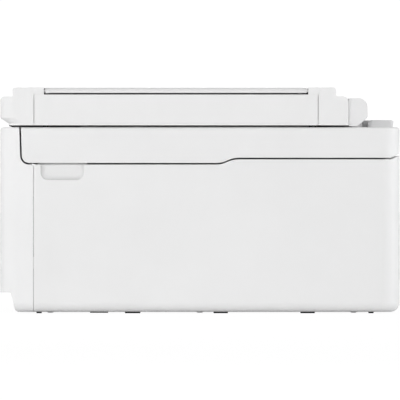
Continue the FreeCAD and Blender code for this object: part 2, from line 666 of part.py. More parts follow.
def scanner_unit():
    y, z = SCANNER_AXIS
    case = case_solid(0).common(above_seam(0))
    case = cut(case, plan(WALL, 100, 220).common(above_seam(-2.5)))
    case = cut(case, box(-187.6, -181.9, 57.2, 68.4, 130, 150))
    notches = []
    for sign in (-1, 1):
        x = sign * 140
        notches.append(box(x - 6, x + 6, 166, HALF_D + 5, 130, z + 6.5))
        boss = fuse(
            cyl_x(y, z, 4.0, x - 13, x - 6.6),
            cyl_x(y, z, 4.0, x + 6.6, x + 13),
        )
        case = fuse(case, cut(boss, box(x - 20, x + 20, HALF_D - 0.8, HALF_D + 9, 100, 200)))
    bores = [cyl_x(y, z, 2.2 + RUNNING, s * 140 - 14, s * 140 + 14) for s in (-1, 1)]
    rod_holders = [
        cut(box(x, x + 4, 0, 16, 137.5, 154), cyl_x(8, 149, 3.02, -220, 220)) for x in (-206, 202)
    ]
    case = cut(case, *notches, *bores)
    lip_x = HALF_W - GRIP_DEPTH - 2.6  # a lip behind each finger recess hides the seam there
    lips = [box(x, x + 1.7, -147, -102, 131, 138) for x in (-lip_x, lip_x - 1.7)]
    save("scanner_case", fuse(case, *rod_holders, *lips))

    top = plan(WALL + 0.15, DECK_Z - 2.8, DECK_Z - 0.1)
    top = top.common(box(-HALF_W, HALF_W, -159.3, HALF_D, 0, 300))
    window = rounded_box(-150, 158, -112, 108, 150, 200, 2)
    strip = box(-178, -160, -112, 108, 150, 200)
    hinge_gaps = [box(s * 140 - 7, s * 140 + 7, 172, HALF_D, 150, z + 7) for s in (-1, 1)]
    save("scanner_top", cut(top, window, strip, *hinge_gaps))
    low = DECK_Z - 5.6
    save(
        "scanner_glass",
        box(-154, 162, -116, 112, low, low + 2.7),
        box(-181, -157.5, -116, 112, low, low + 2.7),
    )
    bar = box(-180, -158, -110, 106, 153, 162.6)
    block = cut(box(-180, -158, 0, 16, 143, 153.1), cyl_x(8, 149, 3 + RUNNING, -200, -150))
    shoe = box(-176, -162, -108, -100, 143, 153.1)
    save("scan_head", fuse(bar, block, shoe))
    save("scan_rod", cyl_x(8, 149, 3.0, -206, 206))

    top = 175.5
    ridge = prism_x(
        [
            (153.0, DECK_Z, 0),
            (175.6, DECK_Z, 0),
            (176.2, top, 1.6),
            (155.5, top, 0.8),
            (153.0, top - 2.7, 0),
        ],
        -190,
        190,
    )
    ends = rounded_box(-190, 190, 152.9, 177, DECK_Z, 180, 5)
    middle = box(-149.5, 149.5, 137, 160, DECK_Z, top)
    save("rear_cable_cover", fuse(ridge.common(ends), middle))


def stay_band(gap_x, gap_r):
    """The curved prop, concentric with the scanner hinge, grown by the given gaps."""
    y, z = SCANNER_AXIS
    x0, x1 = -186.5 - gap_x, -183.0 + gap_x
    outer, inner = 118.0 + gap_r, 110.0 - gap_r
    band = cut(cyl_x(y, z, outer, x0, x1), cyl_x(y, z, inner, x0 - 1, x1 + 1))
    return band.common(box(x0, x1, 0, y - 70, z - 88, z - 4))


def stay_arm():
    """The prop slides through its guide on the engine frame as the scanner unit is lifted."""
    floor = SEAM_REAR_Z + 2.5
    foot = box(-192, -178.5, 52, 74, floor, floor + 2.6)
    band = cut(stay_band(0, 0), box(-200, -170, 0, 200, floor + 1, 200))
    save("stay_arm", fuse(band, foot))


# ---- lid and document feeder --------------------------------------------------------------
def lid_layer(front_low, z_low, front_high, z_high, inset=0.0):
    """A layer of the lid between two heights, whose front leans from one line to another."""
    wires = []
    for front, z in ((front_low, z_low), (front_high, z_high)):
        x, y0, y1 = HALF_W - inset, front + inset, LID_REAR_Y - inset
        r0, r1 = LID_CORNER - inset, max(1.0 - inset, 0)
        corners = [(-x, y0, r0), (x, y0, r0), (x, y1, r1), (-x, y1, r1)]
        wires.append(outline(corners, lambda p, z=z: V(p.x, p.y, z)).OuterWire)
    return Part.makeLoft(wires, True, True)


def lid_blank():
    """The lid's outer form, with the leaning lip along its front and round the front corners."""
    low, high = LIP_Z
    upper = prism_x(
        [
            (-HALF_D, high, 0),
            (-HALF_D, LID_MAIN_Z - 0.2, 4.0),
            (-169.7, LID_MAIN_Z, 0.6),
            (-169.7, LID_TOP_Z, 2.4),
            (123.6, LID_TOP_Z, 2.6),
            (123.6, LID_MAIN_Z, 0.6),
            (LID_REAR_Y, LID_MAIN_Z, 5.0),
            (LID_REAR_Y, high, 0),
        ],
        -HALF_W,
        HALF_W,
    )
    upper = upper.common(lid_layer(-HALF_D, high, -HALF_D, LID_TOP_Z))
    return fuse(
        lid_layer(LIP_Y, LID_Z, LIP_Y, low),
        lid_layer(LIP_Y, low, -HALF_D, high),
        upper,
    )


def lid():
    ledge_x = 204.0
    front, rear = RECESS_Y
    blank = lid_blank()
    low, high = (z + 1.4 for z in LIP_Z)
    hollow = fuse(
        lid_layer(LIP_Y, 160, LIP_Y, low, WALL),
        lid_layer(LIP_Y, low, -HALF_D, high, WALL),
        lid_layer(-HALF_D, high, -HALF_D, 194, WALL),
        box(-HALF_W + WALL, HALF_W - WALL, -166.9, 120.8, 193, 202),
    )
    inner_x = HALF_W - WALL
    rim = box(-inner_x, inner_x, front - WALL, rear + WALL, RECESS_Z, LID_TOP_Z - 1)
    tub = fuse(
        box(-inner_x, inner_x, front - WALL, rear + WALL, RECESS_Z - 2.4, RECESS_Z),
        box(-200.5, ledge_x + 2.4, -134.6, 92.6, 185.6, RECESS_Z),
        box(-200.5, -84, -124.4, 82.4, 174.2, RECESS_Z),
    )
    shell = cut(fuse(cut(blank, hollow), rim.common(blank)), tub)
    recess = box(-HALF_W + 2.0, HALF_W + 5, front, rear, RECESS_Z, 220)
    tray_well = box(-86, ledge_x, -132.2, 90.2, 188, 220)
    feed_well = box(-198, -86, -122, 80, 176.6, 220)
    slit = box(-178, -160, -112, 72, 160, 180)
    save("feeder_tub", cut(tub, tray_well, feed_well, slit))

    panel_x, panel_y = HALF_W - 1.2, (-150.5, 107.5)
    room_x = panel_x - 0.2
    panel_room = [box(x, x + 20, *panel_y, 160, RECESS_Z) for x in (room_x, -room_x - 20)]
    x, z = TRAY_COVER_AXIS
    fx, fz = FEEDER_COVER_AXIS
    bores = [
        cyl_y(x, z, 1.5 + RUNNING, front - 3.4, front + 1),
        cyl_y(x, z, 1.5 + RUNNING, rear - 1, rear + 3.4),
        cyl_y(fx, fz, 1.2 + RUNNING, front - 3.4, front + 1),
        cyl_y(fx, fz, 1.2 + RUNNING, rear - 1, rear + 3.4),
    ]
    sockets = [
        cyl_y(x, z, 3.1, front - 4.4, front - 0.01),
        cyl_y(x, z, 3.1, rear + 0.01, rear + 4.4),
        cyl_y(fx, fz, 3.1, front - 4.4, front - 0.01),
        cyl_y(fx, fz, 3.1, rear + 0.01, rear + 4.4),
    ]
    gap = 0.5
    slots = [
        box(x, x + 6, y, y + gap, LID_Z + 1.4, LID_MAIN_Z - 0.4)
        for x in (HALF_W - 5, -HALF_W - 1)
        for y in (panel_y[0], panel_y[1] - gap)
    ]
    shell = cut(fuse(cut(shell, recess), *sockets), *panel_room, *slots, *bores)
    hinge_room = [box(s * 181 - 31, s * 181 + 31, LID_REAR_Y - 0.1, 200, 160, 200) for s in (-1, 1)]
    save("lid_shell", cut(shell, *hinge_room))

    panel = blank.common(
        box(panel_x, 230, panel_y[0] + gap, panel_y[1] - gap, 160, RECESS_Z - 0.06)
    )
    save("lid_side_panels", panel, mirrored(panel))

    base = rounded_box(-213.9, 213.9, -170.3, 131.6, LID_Z + 0.2, LID_Z + 2.4, 11.2)
    save("lid_base", cut(base, box(-178, -160, -112, 72, 160, 180)))
    pad = rounded_box(-147, 155, -109, 105, 166.2, LID_Z + 0.2, 2)
    save("document_backing", pad)


def tray_cover():
    x, z = TRAY_COVER_AXIS
    front, rear = RECESS_Y
    low, high = RECESS_Z + 1.4, LID_TOP_Z - 0.3
    left, right = FEEDER_X + 0.8, x + 2.4
    corners = [(left, low, 0.5), (right, low, 0.4), (right, high, 4.2), (left, high, 1.0)]
    plate = prism_y(corners, front + 1.4, rear - 1.4)
    ear_ends = [(front + 1.4, front + 4.4), (rear - 9.2, rear - 6.4)]
    ears = [cyl_y(x, z, 2.3, *ends) for ends in ear_ends]
    pins = [
        cyl_y(x, z, 1.5, front - 3.0, front + 2),
        cyl_y(x, z, 1.5, rear - 7, rear + 3.0),
    ]
    finger = box(FEEDER_X - 5, FEEDER_X + 8, -48, 8, high - 1.4, high + 5)
    save("adf_tray_cover", cut(fuse(plate, *ears, *pins), finger))


def feeder_cover():
    x, z = FEEDER_COVER_AXIS
    front, rear = RECESS_Y
    low, high = RECESS_Z + 0.4, LID_TOP_Z - 0.3
    corners = [(x, low, 0), (FEEDER_X, low, 0.4), (FEEDER_X, high, 1.0), (x, high, 0)]
    skin = fuse(
        prism_y(corners, front + 0.35, rear - 0.35),
        cyl_y(x, z, (high - low) / 2, front + 0.35, rear - 0.35),
    )
    hollow = box(-203.5, FEEDER_X - 2.4, front + 3.4, rear - 3.4, low - 1, high - 2.4)
    mouth = box(FEEDER_X - 5, FEEDER_X + 1, -125, 85, low - 1, low + 2.0)
    pins = [
        cyl_y(x, z, 1.2, front - 3.0, front + 2),
        cyl_y(x, z, 1.2, rear - 2, rear + 3.0),
    ]
    ribs = [box(-196, -90, y, y + 1.6, low + 1.0, high - 1) for y in (-100, -60, -20, 20, 60)]
    save("adf_feeder_cover", fuse(cut(skin, hollow, mouth), *ribs, *pins))


def feeder_guides():
    """Coupled document guides in the feeder's tray."""
    for name, outer, side in (("adf_guide_front", -131.9, 1), ("adf_guide_rear", 89.9, -1)):
        y0, y1 = sorted((outer, outer + side * 42))
        f0, f1 = sorted((outer, outer + side * 1.8))
        foot = box(-52, 18, y0, y1, 188.3, 189.8)
        fence = box(-70, 30, f0, f1, 188.3, 198.6)
        save(name, fuse(foot, fence))


def lid_hinges():
    """Housings on the lid that turn about pins in posts on the scanner unit."""
    y, z = LID_AXIS
    profile = [
        (LID_REAR_Y + HAIRLINE, HUMP_Z[1], 0),
        (HUMP_REAR_Y, HUMP_Z[1], 8.5),
        (HUMP_REAR_Y, 177.4, 4.0),
        (142.4, HUMP_Z[0], 2.5),
        (LID_REAR_Y + HAIRLINE, HUMP_Z[0], 0),
    ]
    housings, posts = [], []
    for sign in (-1, 1):
        middle = sign * 181
        lump = prism_x(profile, middle - 30, middle + 30)
        room = box(middle - 19, middle + 19, LID_REAR_Y + 2.4, 160, 160, z + 6.4)
        gap = box(middle - 19, middle + 19, HUMP_REAR_Y - 6, 160, 160, 188)
        pins = [cyl_x(y, z, 3.0, middle - 20, middle + 20)]
        housings.append(fuse(cut(lump, room, gap), *pins))
        stem = box(middle - 14, middle + 14, y - 4.4, y + 4.4, DECK_Z, z)
        knuckle = cyl_x(y, z, 5.4, middle - 14, middle + 14)
        bore = cyl_x(y, z, 3 + RUNNING, middle - 22, middle + 22)
        posts.append(cut(fuse(stem, knuckle), bore))
    save("lid_hinge_housings", *housings)
    save("lid_hinge_posts", *posts)


covers()
rubber_feet()
front_panel()
paper_tray()
paper_guides()
output_tray()
engine_frame()
carriage_drive()
carriage()
cartridges()
paper_drive()
platen()
pick_unit()
turn_guide()
service_station()
electronics()
rear_door()
scanner_unit()
stay_arm()
lid()
tray_cover()
feeder_cover()
feeder_guides()
lid_hinges()
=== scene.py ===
"""Blender scene of the all-in-one inkjet printer: materials, trim, floor, light and camera.

Pieces are drawn in millimetres in the frame of the CAD model (+X the printer's right, +Y to its
rear, +Z up) and made in metres. A piece that dresses a CAD node takes its place from that node's
box, and the others stand at millimetre coordinates in the same frame.
"""

import json
import math

import bmesh
import bpy
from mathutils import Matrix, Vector

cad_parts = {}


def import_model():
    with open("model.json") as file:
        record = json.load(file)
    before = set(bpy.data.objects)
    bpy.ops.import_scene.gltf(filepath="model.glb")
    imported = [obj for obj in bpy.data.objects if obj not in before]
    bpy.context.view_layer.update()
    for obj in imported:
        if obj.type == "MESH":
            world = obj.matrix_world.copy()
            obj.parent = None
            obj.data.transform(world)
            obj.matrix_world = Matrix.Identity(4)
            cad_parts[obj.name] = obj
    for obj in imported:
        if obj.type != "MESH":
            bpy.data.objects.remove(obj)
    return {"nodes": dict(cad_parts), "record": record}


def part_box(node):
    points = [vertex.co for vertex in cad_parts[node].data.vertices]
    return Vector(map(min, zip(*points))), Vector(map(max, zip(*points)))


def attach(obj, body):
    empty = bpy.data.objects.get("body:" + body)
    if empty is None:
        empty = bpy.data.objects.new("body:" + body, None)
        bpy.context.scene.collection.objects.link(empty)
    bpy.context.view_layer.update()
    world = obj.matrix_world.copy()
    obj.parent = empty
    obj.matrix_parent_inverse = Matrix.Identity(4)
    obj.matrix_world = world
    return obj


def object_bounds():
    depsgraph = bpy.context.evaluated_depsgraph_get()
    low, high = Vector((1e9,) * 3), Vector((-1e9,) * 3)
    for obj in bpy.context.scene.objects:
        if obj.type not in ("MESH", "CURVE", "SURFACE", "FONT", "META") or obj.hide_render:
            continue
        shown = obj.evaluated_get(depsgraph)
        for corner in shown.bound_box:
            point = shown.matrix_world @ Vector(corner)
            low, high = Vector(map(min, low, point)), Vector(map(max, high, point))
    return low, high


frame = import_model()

bpy.context.view_layer.update()
CAD_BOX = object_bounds()

MM = 0.001
NODES = frame["nodes"]
SUBPARTS = frame["record"]["subparts"]
TURN = 2 * math.pi


def box_mm(node):
    """Lowest and highest corner of a CAD node, in millimetres."""
    low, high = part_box(node)
    return low / MM, high / MM


def centre(node):
    """X, Y and Z of the middle of a CAD node's box, in millimetres."""
    return [(a + b) / 2 for a, b in zip(*box_mm(node))]


# ---- materials --------------------------------------------------------------------------
class Surface:
    """A Principled material whose inputs are driven by procedural patterns in object space."""

    def __init__(self, name, rough, metallic=0.0, specular=0.5):
        self.material = bpy.data.materials.new(name)
        self.material.use_nodes = True
        self.tree = self.material.node_tree
        self.shader = self.tree.nodes["Principled BSDF"]
        self.place = self.tree.nodes.new("ShaderNodeTexCoord").outputs["Object"]
        self.set("Roughness", rough)
        self.set("Metallic", metallic)
        self.set("Specular IOR Level", specular)

    def set(self, socket, value):
        self.shader.inputs[socket].default_value = value
        return self

    def link(self, output, node, socket):
        self.tree.links.new(output, node.inputs[socket])

    def noise(self, scale, detail=2.0, stretch=None):
        """Noise with features of about 1 / scale metres, longer along an axis whose stretch is low."""
        place = self.place
        if stretch:
            mapping = self.tree.nodes.new("ShaderNodeMapping")
            mapping.inputs["Scale"].default_value = stretch
            self.link(place, mapping, "Vector")
            place = mapping.outputs["Vector"]
        node = self.tree.nodes.new("ShaderNodeTexNoise")
        node.inputs["Scale"].default_value = scale
        node.inputs["Detail"].default_value = detail
        self.link(place, node, "Vector")
        return node.outputs["Fac"]

    def cells(self, scale, feature="F1"):
        """Distances in a pattern of cells about 1 / scale metres across."""
        node = self.tree.nodes.new("ShaderNodeTexVoronoi")
        node.feature = feature
        node.inputs["Scale"].default_value = scale
        self.link(self.place, node, "Vector")
        return node.outputs["Distance"]

    def waves(self, scale, axis):
        """Fine parallel ridges across an axis."""
        node = self.tree.nodes.new("ShaderNodeTexWave")
        node.bands_direction = axis
        node.inputs["Scale"].default_value = scale
        self.link(self.place, node, "Vector")
        return node.outputs["Fac"]

    def colour(self, pattern, *stops):
        """Base colour from a pattern through (position, colour) stops."""
        ramp = self.tree.nodes.new("ShaderNodeValToRGB")
        band = ramp.color_ramp
        while len(band.elements) < len(stops):
            band.elements.new(0.5)
        for element, (position, shade) in zip(band.elements, stops):
            element.position = position
            element.color = (*shade, 1.0)
        self.link(pattern, ramp, "Fac")
        self.link(ramp.outputs["Color"], self.shader, "Base Color")
        return self

    def roughness(self, pattern, low, high):
        """Roughness between two values, from a pattern."""
        span = self.tree.nodes.new("ShaderNodeMapRange")
        for socket, value in zip(("From Min", "From Max", "To Min", "To Max"), (0.3, 0.7, low, high)):
            span.inputs[socket].default_value = value
        self.link(pattern, span, "Value")
        self.link(span.outputs["Result"], self.shader, "Roughness")
        return self

    def bump(self, pattern, height, strength=1.0):
        """Relief of height metres. A second call is laid over the first."""
        node = self.tree.nodes.new("ShaderNodeBump")
        node.inputs["Distance"].default_value = height
        node.inputs["Strength"].default_value = strength
        self.link(pattern, node, "Height")
        normal = self.shader.inputs["Normal"]
        if normal.is_linked:
            self.link(normal.links[0].from_socket, node, "Normal")
        self.link(node.outputs["Normal"], self.shader, "Normal")
        return self


def shades(colour, spread):
    """A colour a little darker, itself, and a little lighter."""
    return [tuple(min(1.0, c * f) for c in colour) for f in (1 - spread, 1.0, 1 + spread)]


def moulded(name, colour, rough, grain=0.00003, spread=0.012, cell=1500):
    """Moulded plastic with a fine eroded texture and slight mottling."""
    s = Surface(name, rough)
    dark, mid, light = shades(colour, spread)
    s.colour(s.noise(16, 3.0), (0.3, dark), (0.5, mid), (0.7, light))
    s.roughness(s.noise(90), rough - 0.05, rough + 0.05)
    s.bump(s.noise(cell, 3.0), grain, 0.5)
    return s


def glossy(name, colour, rough, coat):
    """Plastic or glass under a clear coat."""
    s = Surface(name, rough)
    dark, mid, light = shades(colour, 0.05)
    s.colour(s.noise(30), (0.3, dark), (0.5, mid), (0.7, light))
    s.roughness(s.noise(160, 4.0), rough, rough + 0.03)
    s.bump(s.noise(25), 0.00002, 0.15)
    s.set("Coat Weight", coat)
    s.set("Coat Roughness", 0.04)
    return s


def brushed(name, colour, low, high, stretch):
    """Rolled sheet steel, with its lines along the axis whose stretch is low."""
    s = Surface(name, (low + high) / 2, metallic=1.0)
    dark, mid, light = shades(colour, 0.08)
    s.colour(s.noise(60, 4.0, stretch), (0.3, dark), (0.5, mid), (0.7, light))
    s.roughness(s.noise(80, 3.0, stretch), low, high)
    s.bump(s.noise(400, 2.0, stretch), 0.00001, 0.3)
    return s


def rubber(name, colour, cell=900):
    """Matt rubber with a fine cellular skin."""
    s = Surface(name, 0.8, specular=0.3)
    dark, mid, light = shades(colour, 0.15)
    s.colour(s.noise(70, 3.0), (0.3, dark), (0.5, mid), (0.7, light))
    s.roughness(s.noise(240), 0.7, 0.9)
    s.bump(s.cells(cell), 0.00006, 0.4)
    return s


def foam(name, colour):
    """Foam, felt or cork: very rough, with open cells."""
    s = Surface(name, 0.9, specular=0.2)
    dark, mid, light = shades(colour, 0.03)
    s.colour(s.noise(40, 4.0), (0.3, dark), (0.5, mid), (0.7, light))
    s.roughness(s.noise(300), 0.82, 0.95)
    s.bump(s.cells(700), 0.0001, 0.35)
    s.set("Sheen Weight", 0.15)
    return s


def glass(name, colour):
    """Clear glass with faint smears."""
    s = Surface(name, 0.02)
    dark, mid, light = shades(colour, 0.01)
    s.colour(s.noise(12), (0.3, dark), (0.5, mid), (0.7, light))
    s.roughness(s.noise(200, 4.0), 0.01, 0.04)
    s.set("Transmission Weight", 0.92)
    s.set("IOR", 1.5)
    return s


def circuit(name):
    """Solder mask over copper tracks."""
    s = Surface(name, 0.35)
    tracks = s.cells(260, "DISTANCE_TO_EDGE")
    s.colour(tracks, (0.0, (0.02, 0.13, 0.07)), (0.06, (0.015, 0.085, 0.045)), (0.3, (0.012, 0.07, 0.04)))
    s.roughness(s.noise(400), 0.3, 0.45)
    s.bump(tracks, 0.00005, 0.4)
    return s


def toothed(name, colour, scale, axis):
    """A toothed belt, with its teeth in relief across an axis."""
    s = Surface(name, 0.7)
    dark, mid, light = shades(colour, 0.25)
    teeth = s.waves(scale, axis)
    s.colour(teeth, (0.2, dark), (0.5, mid), (0.8, light))
    s.roughness(s.noise(200), 0.6, 0.8)
    s.bump(teeth, 0.0003, 0.5)
    return s


def lit(name, colour, strength):
    """A softly glowing screen or lamp."""
    s = Surface(name, 0.3)
    dark, mid, light = shades(colour, 0.04)
    s.colour(s.noise(50), (0.3, dark), (0.5, mid), (0.7, light))
    s.roughness(s.noise(300), 0.25, 0.35)
    s.set("Emission Color", (*colour, 1.0))
    s.set("Emission Strength", strength)
    return s


LOOKS = {
    "housing_white": moulded("housing_white", (0.81, 0.81, 0.81), 0.52),
    "fascia_white": moulded("fascia_white", (0.83, 0.83, 0.832), 0.46),
    "hinge_white": moulded("hinge_white", (0.79, 0.79, 0.792), 0.50),
    "grey_plastic": moulded("grey_plastic", (0.42, 0.425, 0.43), 0.50, spread=0.03),
    "dark_plastic": moulded("dark_plastic", (0.055, 0.056, 0.06), 0.48, spread=0.08),
    "black_gloss": glossy("black_gloss", (0.010, 0.011, 0.013), 0.08, 1.0),
    "gear_white": moulded("gear_white", (0.72, 0.71, 0.67), 0.38, 0.00001, 0.02),
    "steel": brushed("steel", (0.56, 0.57, 0.58), 0.22, 0.42, (1.0, 14.0, 14.0)),
    "rubber_black": rubber("rubber_black", (0.022, 0.022, 0.023)),
    "rubber_grey": rubber("rubber_grey", (0.13, 0.13, 0.135), 1300),
    "glass_clear": glass("glass_clear", (0.90, 0.95, 0.93)),
    "foam_white": foam("foam_white", (0.84, 0.84, 0.83)),
    "ink_black": moulded("ink_black", (0.030, 0.030, 0.034), 0.40, spread=0.1),
    "ink_color": moulded("ink_color", (0.050, 0.060, 0.085), 0.40, spread=0.1),
    "latch_blue": moulded("latch_blue", (0.055, 0.14, 0.32), 0.42, spread=0.05),
    # cable_cover is a grey darker than the white housing, standing for the shade under the lid's hinge hump:
    # painted shade
    "cable_cover": moulded("cable_cover", (0.66, 0.66, 0.665), 0.52),
    "belt": toothed("belt", (0.03, 0.03, 0.03), 160, "X"),
    "circuit": circuit("circuit"),
    "chip": moulded("chip", (0.018, 0.018, 0.019), 0.42, spread=0.15),
    "copper": brushed("copper", (0.80, 0.55, 0.32), 0.25, 0.4, (1.0, 6.0, 6.0)),
    "lens": glossy("lens", (0.02, 0.03, 0.05), 0.06, 1.0),
    "screen_dark": lit("screen_dark", (0.020, 0.032, 0.055), 0.5),
    "screen_tile": lit("screen_tile", (0.09, 0.20, 0.36), 0.6),
    "screen_mark": lit("screen_mark", (0.85, 0.88, 0.92), 0.7),
    "light_bar": lit("light_bar", (0.75, 0.80, 0.86), 0.15),
    "frosted": moulded("frosted", (0.70, 0.72, 0.74), 0.35, 0.00001),
    "cork": foam("cork", (0.35, 0.24, 0.14)),
    "felt": foam("felt", (0.50, 0.50, 0.49)),
    "label": moulded("label", (0.74, 0.745, 0.75), 0.30, 0.000005, 0.006),
    "print_grey": moulded("print_grey", (0.22, 0.225, 0.23), 0.5, 0.000005),
    "cyan": moulded("cyan", (0.02, 0.33, 0.55), 0.35, 0.000005),
    "magenta": moulded("magenta", (0.55, 0.03, 0.22), 0.35, 0.000005),
    "yellow": moulded("yellow", (0.75, 0.58, 0.03), 0.35, 0.000005),
}
LOOKS["steel_y"] = brushed("steel_y", (0.56, 0.57, 0.58), 0.22, 0.42, (14.0, 1.0, 14.0))


def dress_cad():
    """Gives each CAD node the look of its material slot, or one of its own."""
    special = {
        "carriage_belt": "belt",
        "engine_frame": "steel",
        "usb_port": "steel_y",
        "carriage_motor": "steel_y",
        # the lid's hinge posts take white so that the block in the shade under the hump looks lighter:
        # painted light
        "lid_hinge_posts": "hinge_white",
        # the rear cable cover takes the darker grey as painted shade
        "rear_cable_cover": "cable_cover",
    }
    for part in SUBPARTS:
        node = NODES[part["node"]]
        look = LOOKS[special.get(part["node"], part["material_slot"])].material
        node.data.materials.clear()
        node.data.materials.append(look)


# ---- mesh helpers -------------------------------------------------------------------------
PLACE = {
    "x": lambda u, v, w: (w, u, v),
    "y": lambda u, v, w: (u, w, v),
    "z": lambda u, v, w: (u, v, w),
}


def rounded(u0, u1, v0, v1, r, steps=5):
    """Points round a rectangle whose corners have radius r."""
    if r <= 0:
        return [(u0, v0), (u1, v0), (u1, v1), (u0, v1)]
    centres = ((u1 - r, v1 - r), (u0 + r, v1 - r), (u0 + r, v0 + r), (u1 - r, v0 + r))
    points = []
    for quarter, (cu, cv) in enumerate(centres):
        for k in range(steps + 1):
            angle = math.pi / 2 * (quarter + k / steps)
            points.append((cu + r * math.cos(angle), cv + r * math.sin(angle)))
    return points


def circle(cu, cv, r, steps=24, start=0.0, sweep=TURN):
    """Points on a circle or an arc of it."""
    count = steps if sweep >= TURN else steps + 1
    return [
        (cu + r * math.cos(start + sweep * k / steps), cv + r * math.sin(start + sweep * k / steps))
        for k in range(count)
    ]


def prism(bm, outline, w0, w1, axis="z"):
    """An outline drawn out along an axis."""
    place = PLACE[axis]
    low = [bm.verts.new(Vector(place(u, v, w0)) * MM) for u, v in outline]
    high = [bm.verts.new(Vector(place(u, v, w1)) * MM) for u, v in outline]
    bm.faces.new(low[::-1])
    bm.faces.new(high)
    for i in range(len(low)):
        j = (i + 1) % len(low)
        bm.faces.new((low[i], low[j], high[j], high[i]))


def slab(bm, low, high, r=0.0, axis="z"):
    """A block between two corners with four rounded edges along an axis."""
    order = {"x": (1, 2, 0), "y": (0, 2, 1), "z": (0, 1, 2)}[axis]
    (u0, v0, w0), (u1, v1, w1) = ([corner[i] for i in order] for corner in (low, high))
    prism(bm, rounded(u0, u1, v0, v1, r), w0, w1, axis)


def lathe(bm, profile, cu, cv, axis="x", steps=28):
    """A turned shape. The profile is (place along the axis, radius) from one end to the other."""
    place = PLACE[axis]
    rings = []
    for w, r in profile:
        spots = [(cu, cv)] if r <= 0 else circle(cu, cv, r, steps)
        rings.append([bm.verts.new(Vector(place(u, v, w)) * MM) for u, v in spots])
    for a, b in zip(rings, rings[1:]):
        for k in range(steps):
            corners = [a[k % len(a)], a[(k + 1) % len(a)], b[(k + 1) % len(b)], b[k % len(b)]]
            corners = [v for i, v in enumerate(corners) if v not in corners[:i]]
            bm.faces.new(corners)


def arc_band(bm, centre, radii, w0, w1, start, sweep, steps, axis="y"):
    """A curved band between an inner and an outer radius."""
    inner, outer = (circle(*centre, r, steps, start, sweep) for r in radii)
    prism(bm, outer + inner[::-1], w0, w1, axis)


def notched(cu, cv, count, radii):
    """Points round a circle whose radius runs through a repeating list, as on a cog."""
    points = []
    for k in range(count):
        r = radii[k % len(radii)]
        angle = TURN * k / count
        points.append((cu + r * math.cos(angle), cv + r * math.sin(angle)))
    return points


def sleeve(w0, w1, r_in, r_out, edge=0.4):
    """A ring's profile with softened outer edges."""
    rim = r_out - edge
    return [(w0, r_in), (w0, rim), (w0 + edge, r_out), (w1 - edge, r_out), (w1, rim), (w1, r_in)]


def piece(name, body, look, draw, bevel=0.0):
    """Makes one object from a drawing function and lets it ride on a body."""
    bm = bmesh.new()
    draw(bm)
    bmesh.ops.recalc_face_normals(bm, faces=bm.faces)
    mesh = bpy.data.meshes.new(name)
    bm.to_mesh(mesh)
    bm.free()
    mesh.materials.append(LOOKS[look].material)
    obj = bpy.data.objects.new(name, mesh)
    bpy.context.scene.collection.objects.link(obj)
    for polygon in mesh.polygons:
        polygon.use_smooth = True
    mesh.set_sharp_from_angle(angle=math.radians(32))
    if bevel:
        edge = obj.modifiers.new("edge", "BEVEL")
        edge.width = bevel * MM
        edge.segments = 2
        edge.limit_method = "ANGLE"
        edge.angle_limit = math.radians(40)
    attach(obj, body)
    return obj


def blocks(name, body, look, corners, r=0.0, axis="z", bevel=0.0):
    """Several blocks as one piece, each from (low corner, high corner)."""

    def draw(bm):
        for low, high in corners:
            slab(bm, low, high, r, axis)

    return piece(name, body, look, draw, bevel)


def turned(name, body, look, profiles, cu, cv, axis="x", steps=28):
    """Several turned shapes on one axis as one piece."""

    def draw(bm):
        for profile in profiles:
            lathe(bm, profile, cu, cv, axis, steps)

    return piece(name, body, look, draw)


def repeated(name, body, look, profile, places, axis, steps=20):
    """One turned shape at several places as one piece; a place is its two coordinates across the axis."""

    def draw(bm):
        for cu, cv in places:
            lathe(bm, profile, cu, cv, axis, steps)

    return piece(name, body, look, draw)


def screws(name, places, axis, face, out, r):
    """Pan heads with a dimple on the chassis, standing out of a face; out is 1 or -1 along the axis."""
    head = [(0.0, 0.0), (0.0, 1.0), (0.5, 1.0), (1.0, 0.72), (1.05, 0.42), (0.45, 0.18), (0.45, 0.0)]
    profile = [(face + out * w, q * r) for w, q in head]
    return repeated(name, "chassis", "steel", profile, places, axis, 16)


def strap(name, body, look, points, half_width, thickness, across):
    """A flat ribbon that follows points, with its width along an axis."""
    line = [Vector(p) for p in points]
    side = Vector(across).normalized()

    def draw(bm):
        rings = []
        for i, p in enumerate(line):
            ahead = (line[min(i + 1, len(line) - 1)] - line[max(i - 1, 0)]).normalized()
            up = side.cross(ahead).normalized() * thickness / 2
            wide = side * half_width
            corners = (p - wide - up, p + wide - up, p + wide + up, p - wide + up)
            rings.append([bm.verts.new(c * MM) for c in corners])
        for a, b in zip(rings, rings[1:]):
            for k in range(4):
                bm.faces.new((a[k], a[(k + 1) % 4], b[(k + 1) % 4], b[k]))
        bm.faces.new(rings[0][::-1])
        bm.faces.new(rings[-1])

    return piece(name, body, look, draw)


# ---- trim: front panel ----------------------------------------------------------------------
PROUD = 0.02  # each printed layer on the panel stands this far out of the one behind it


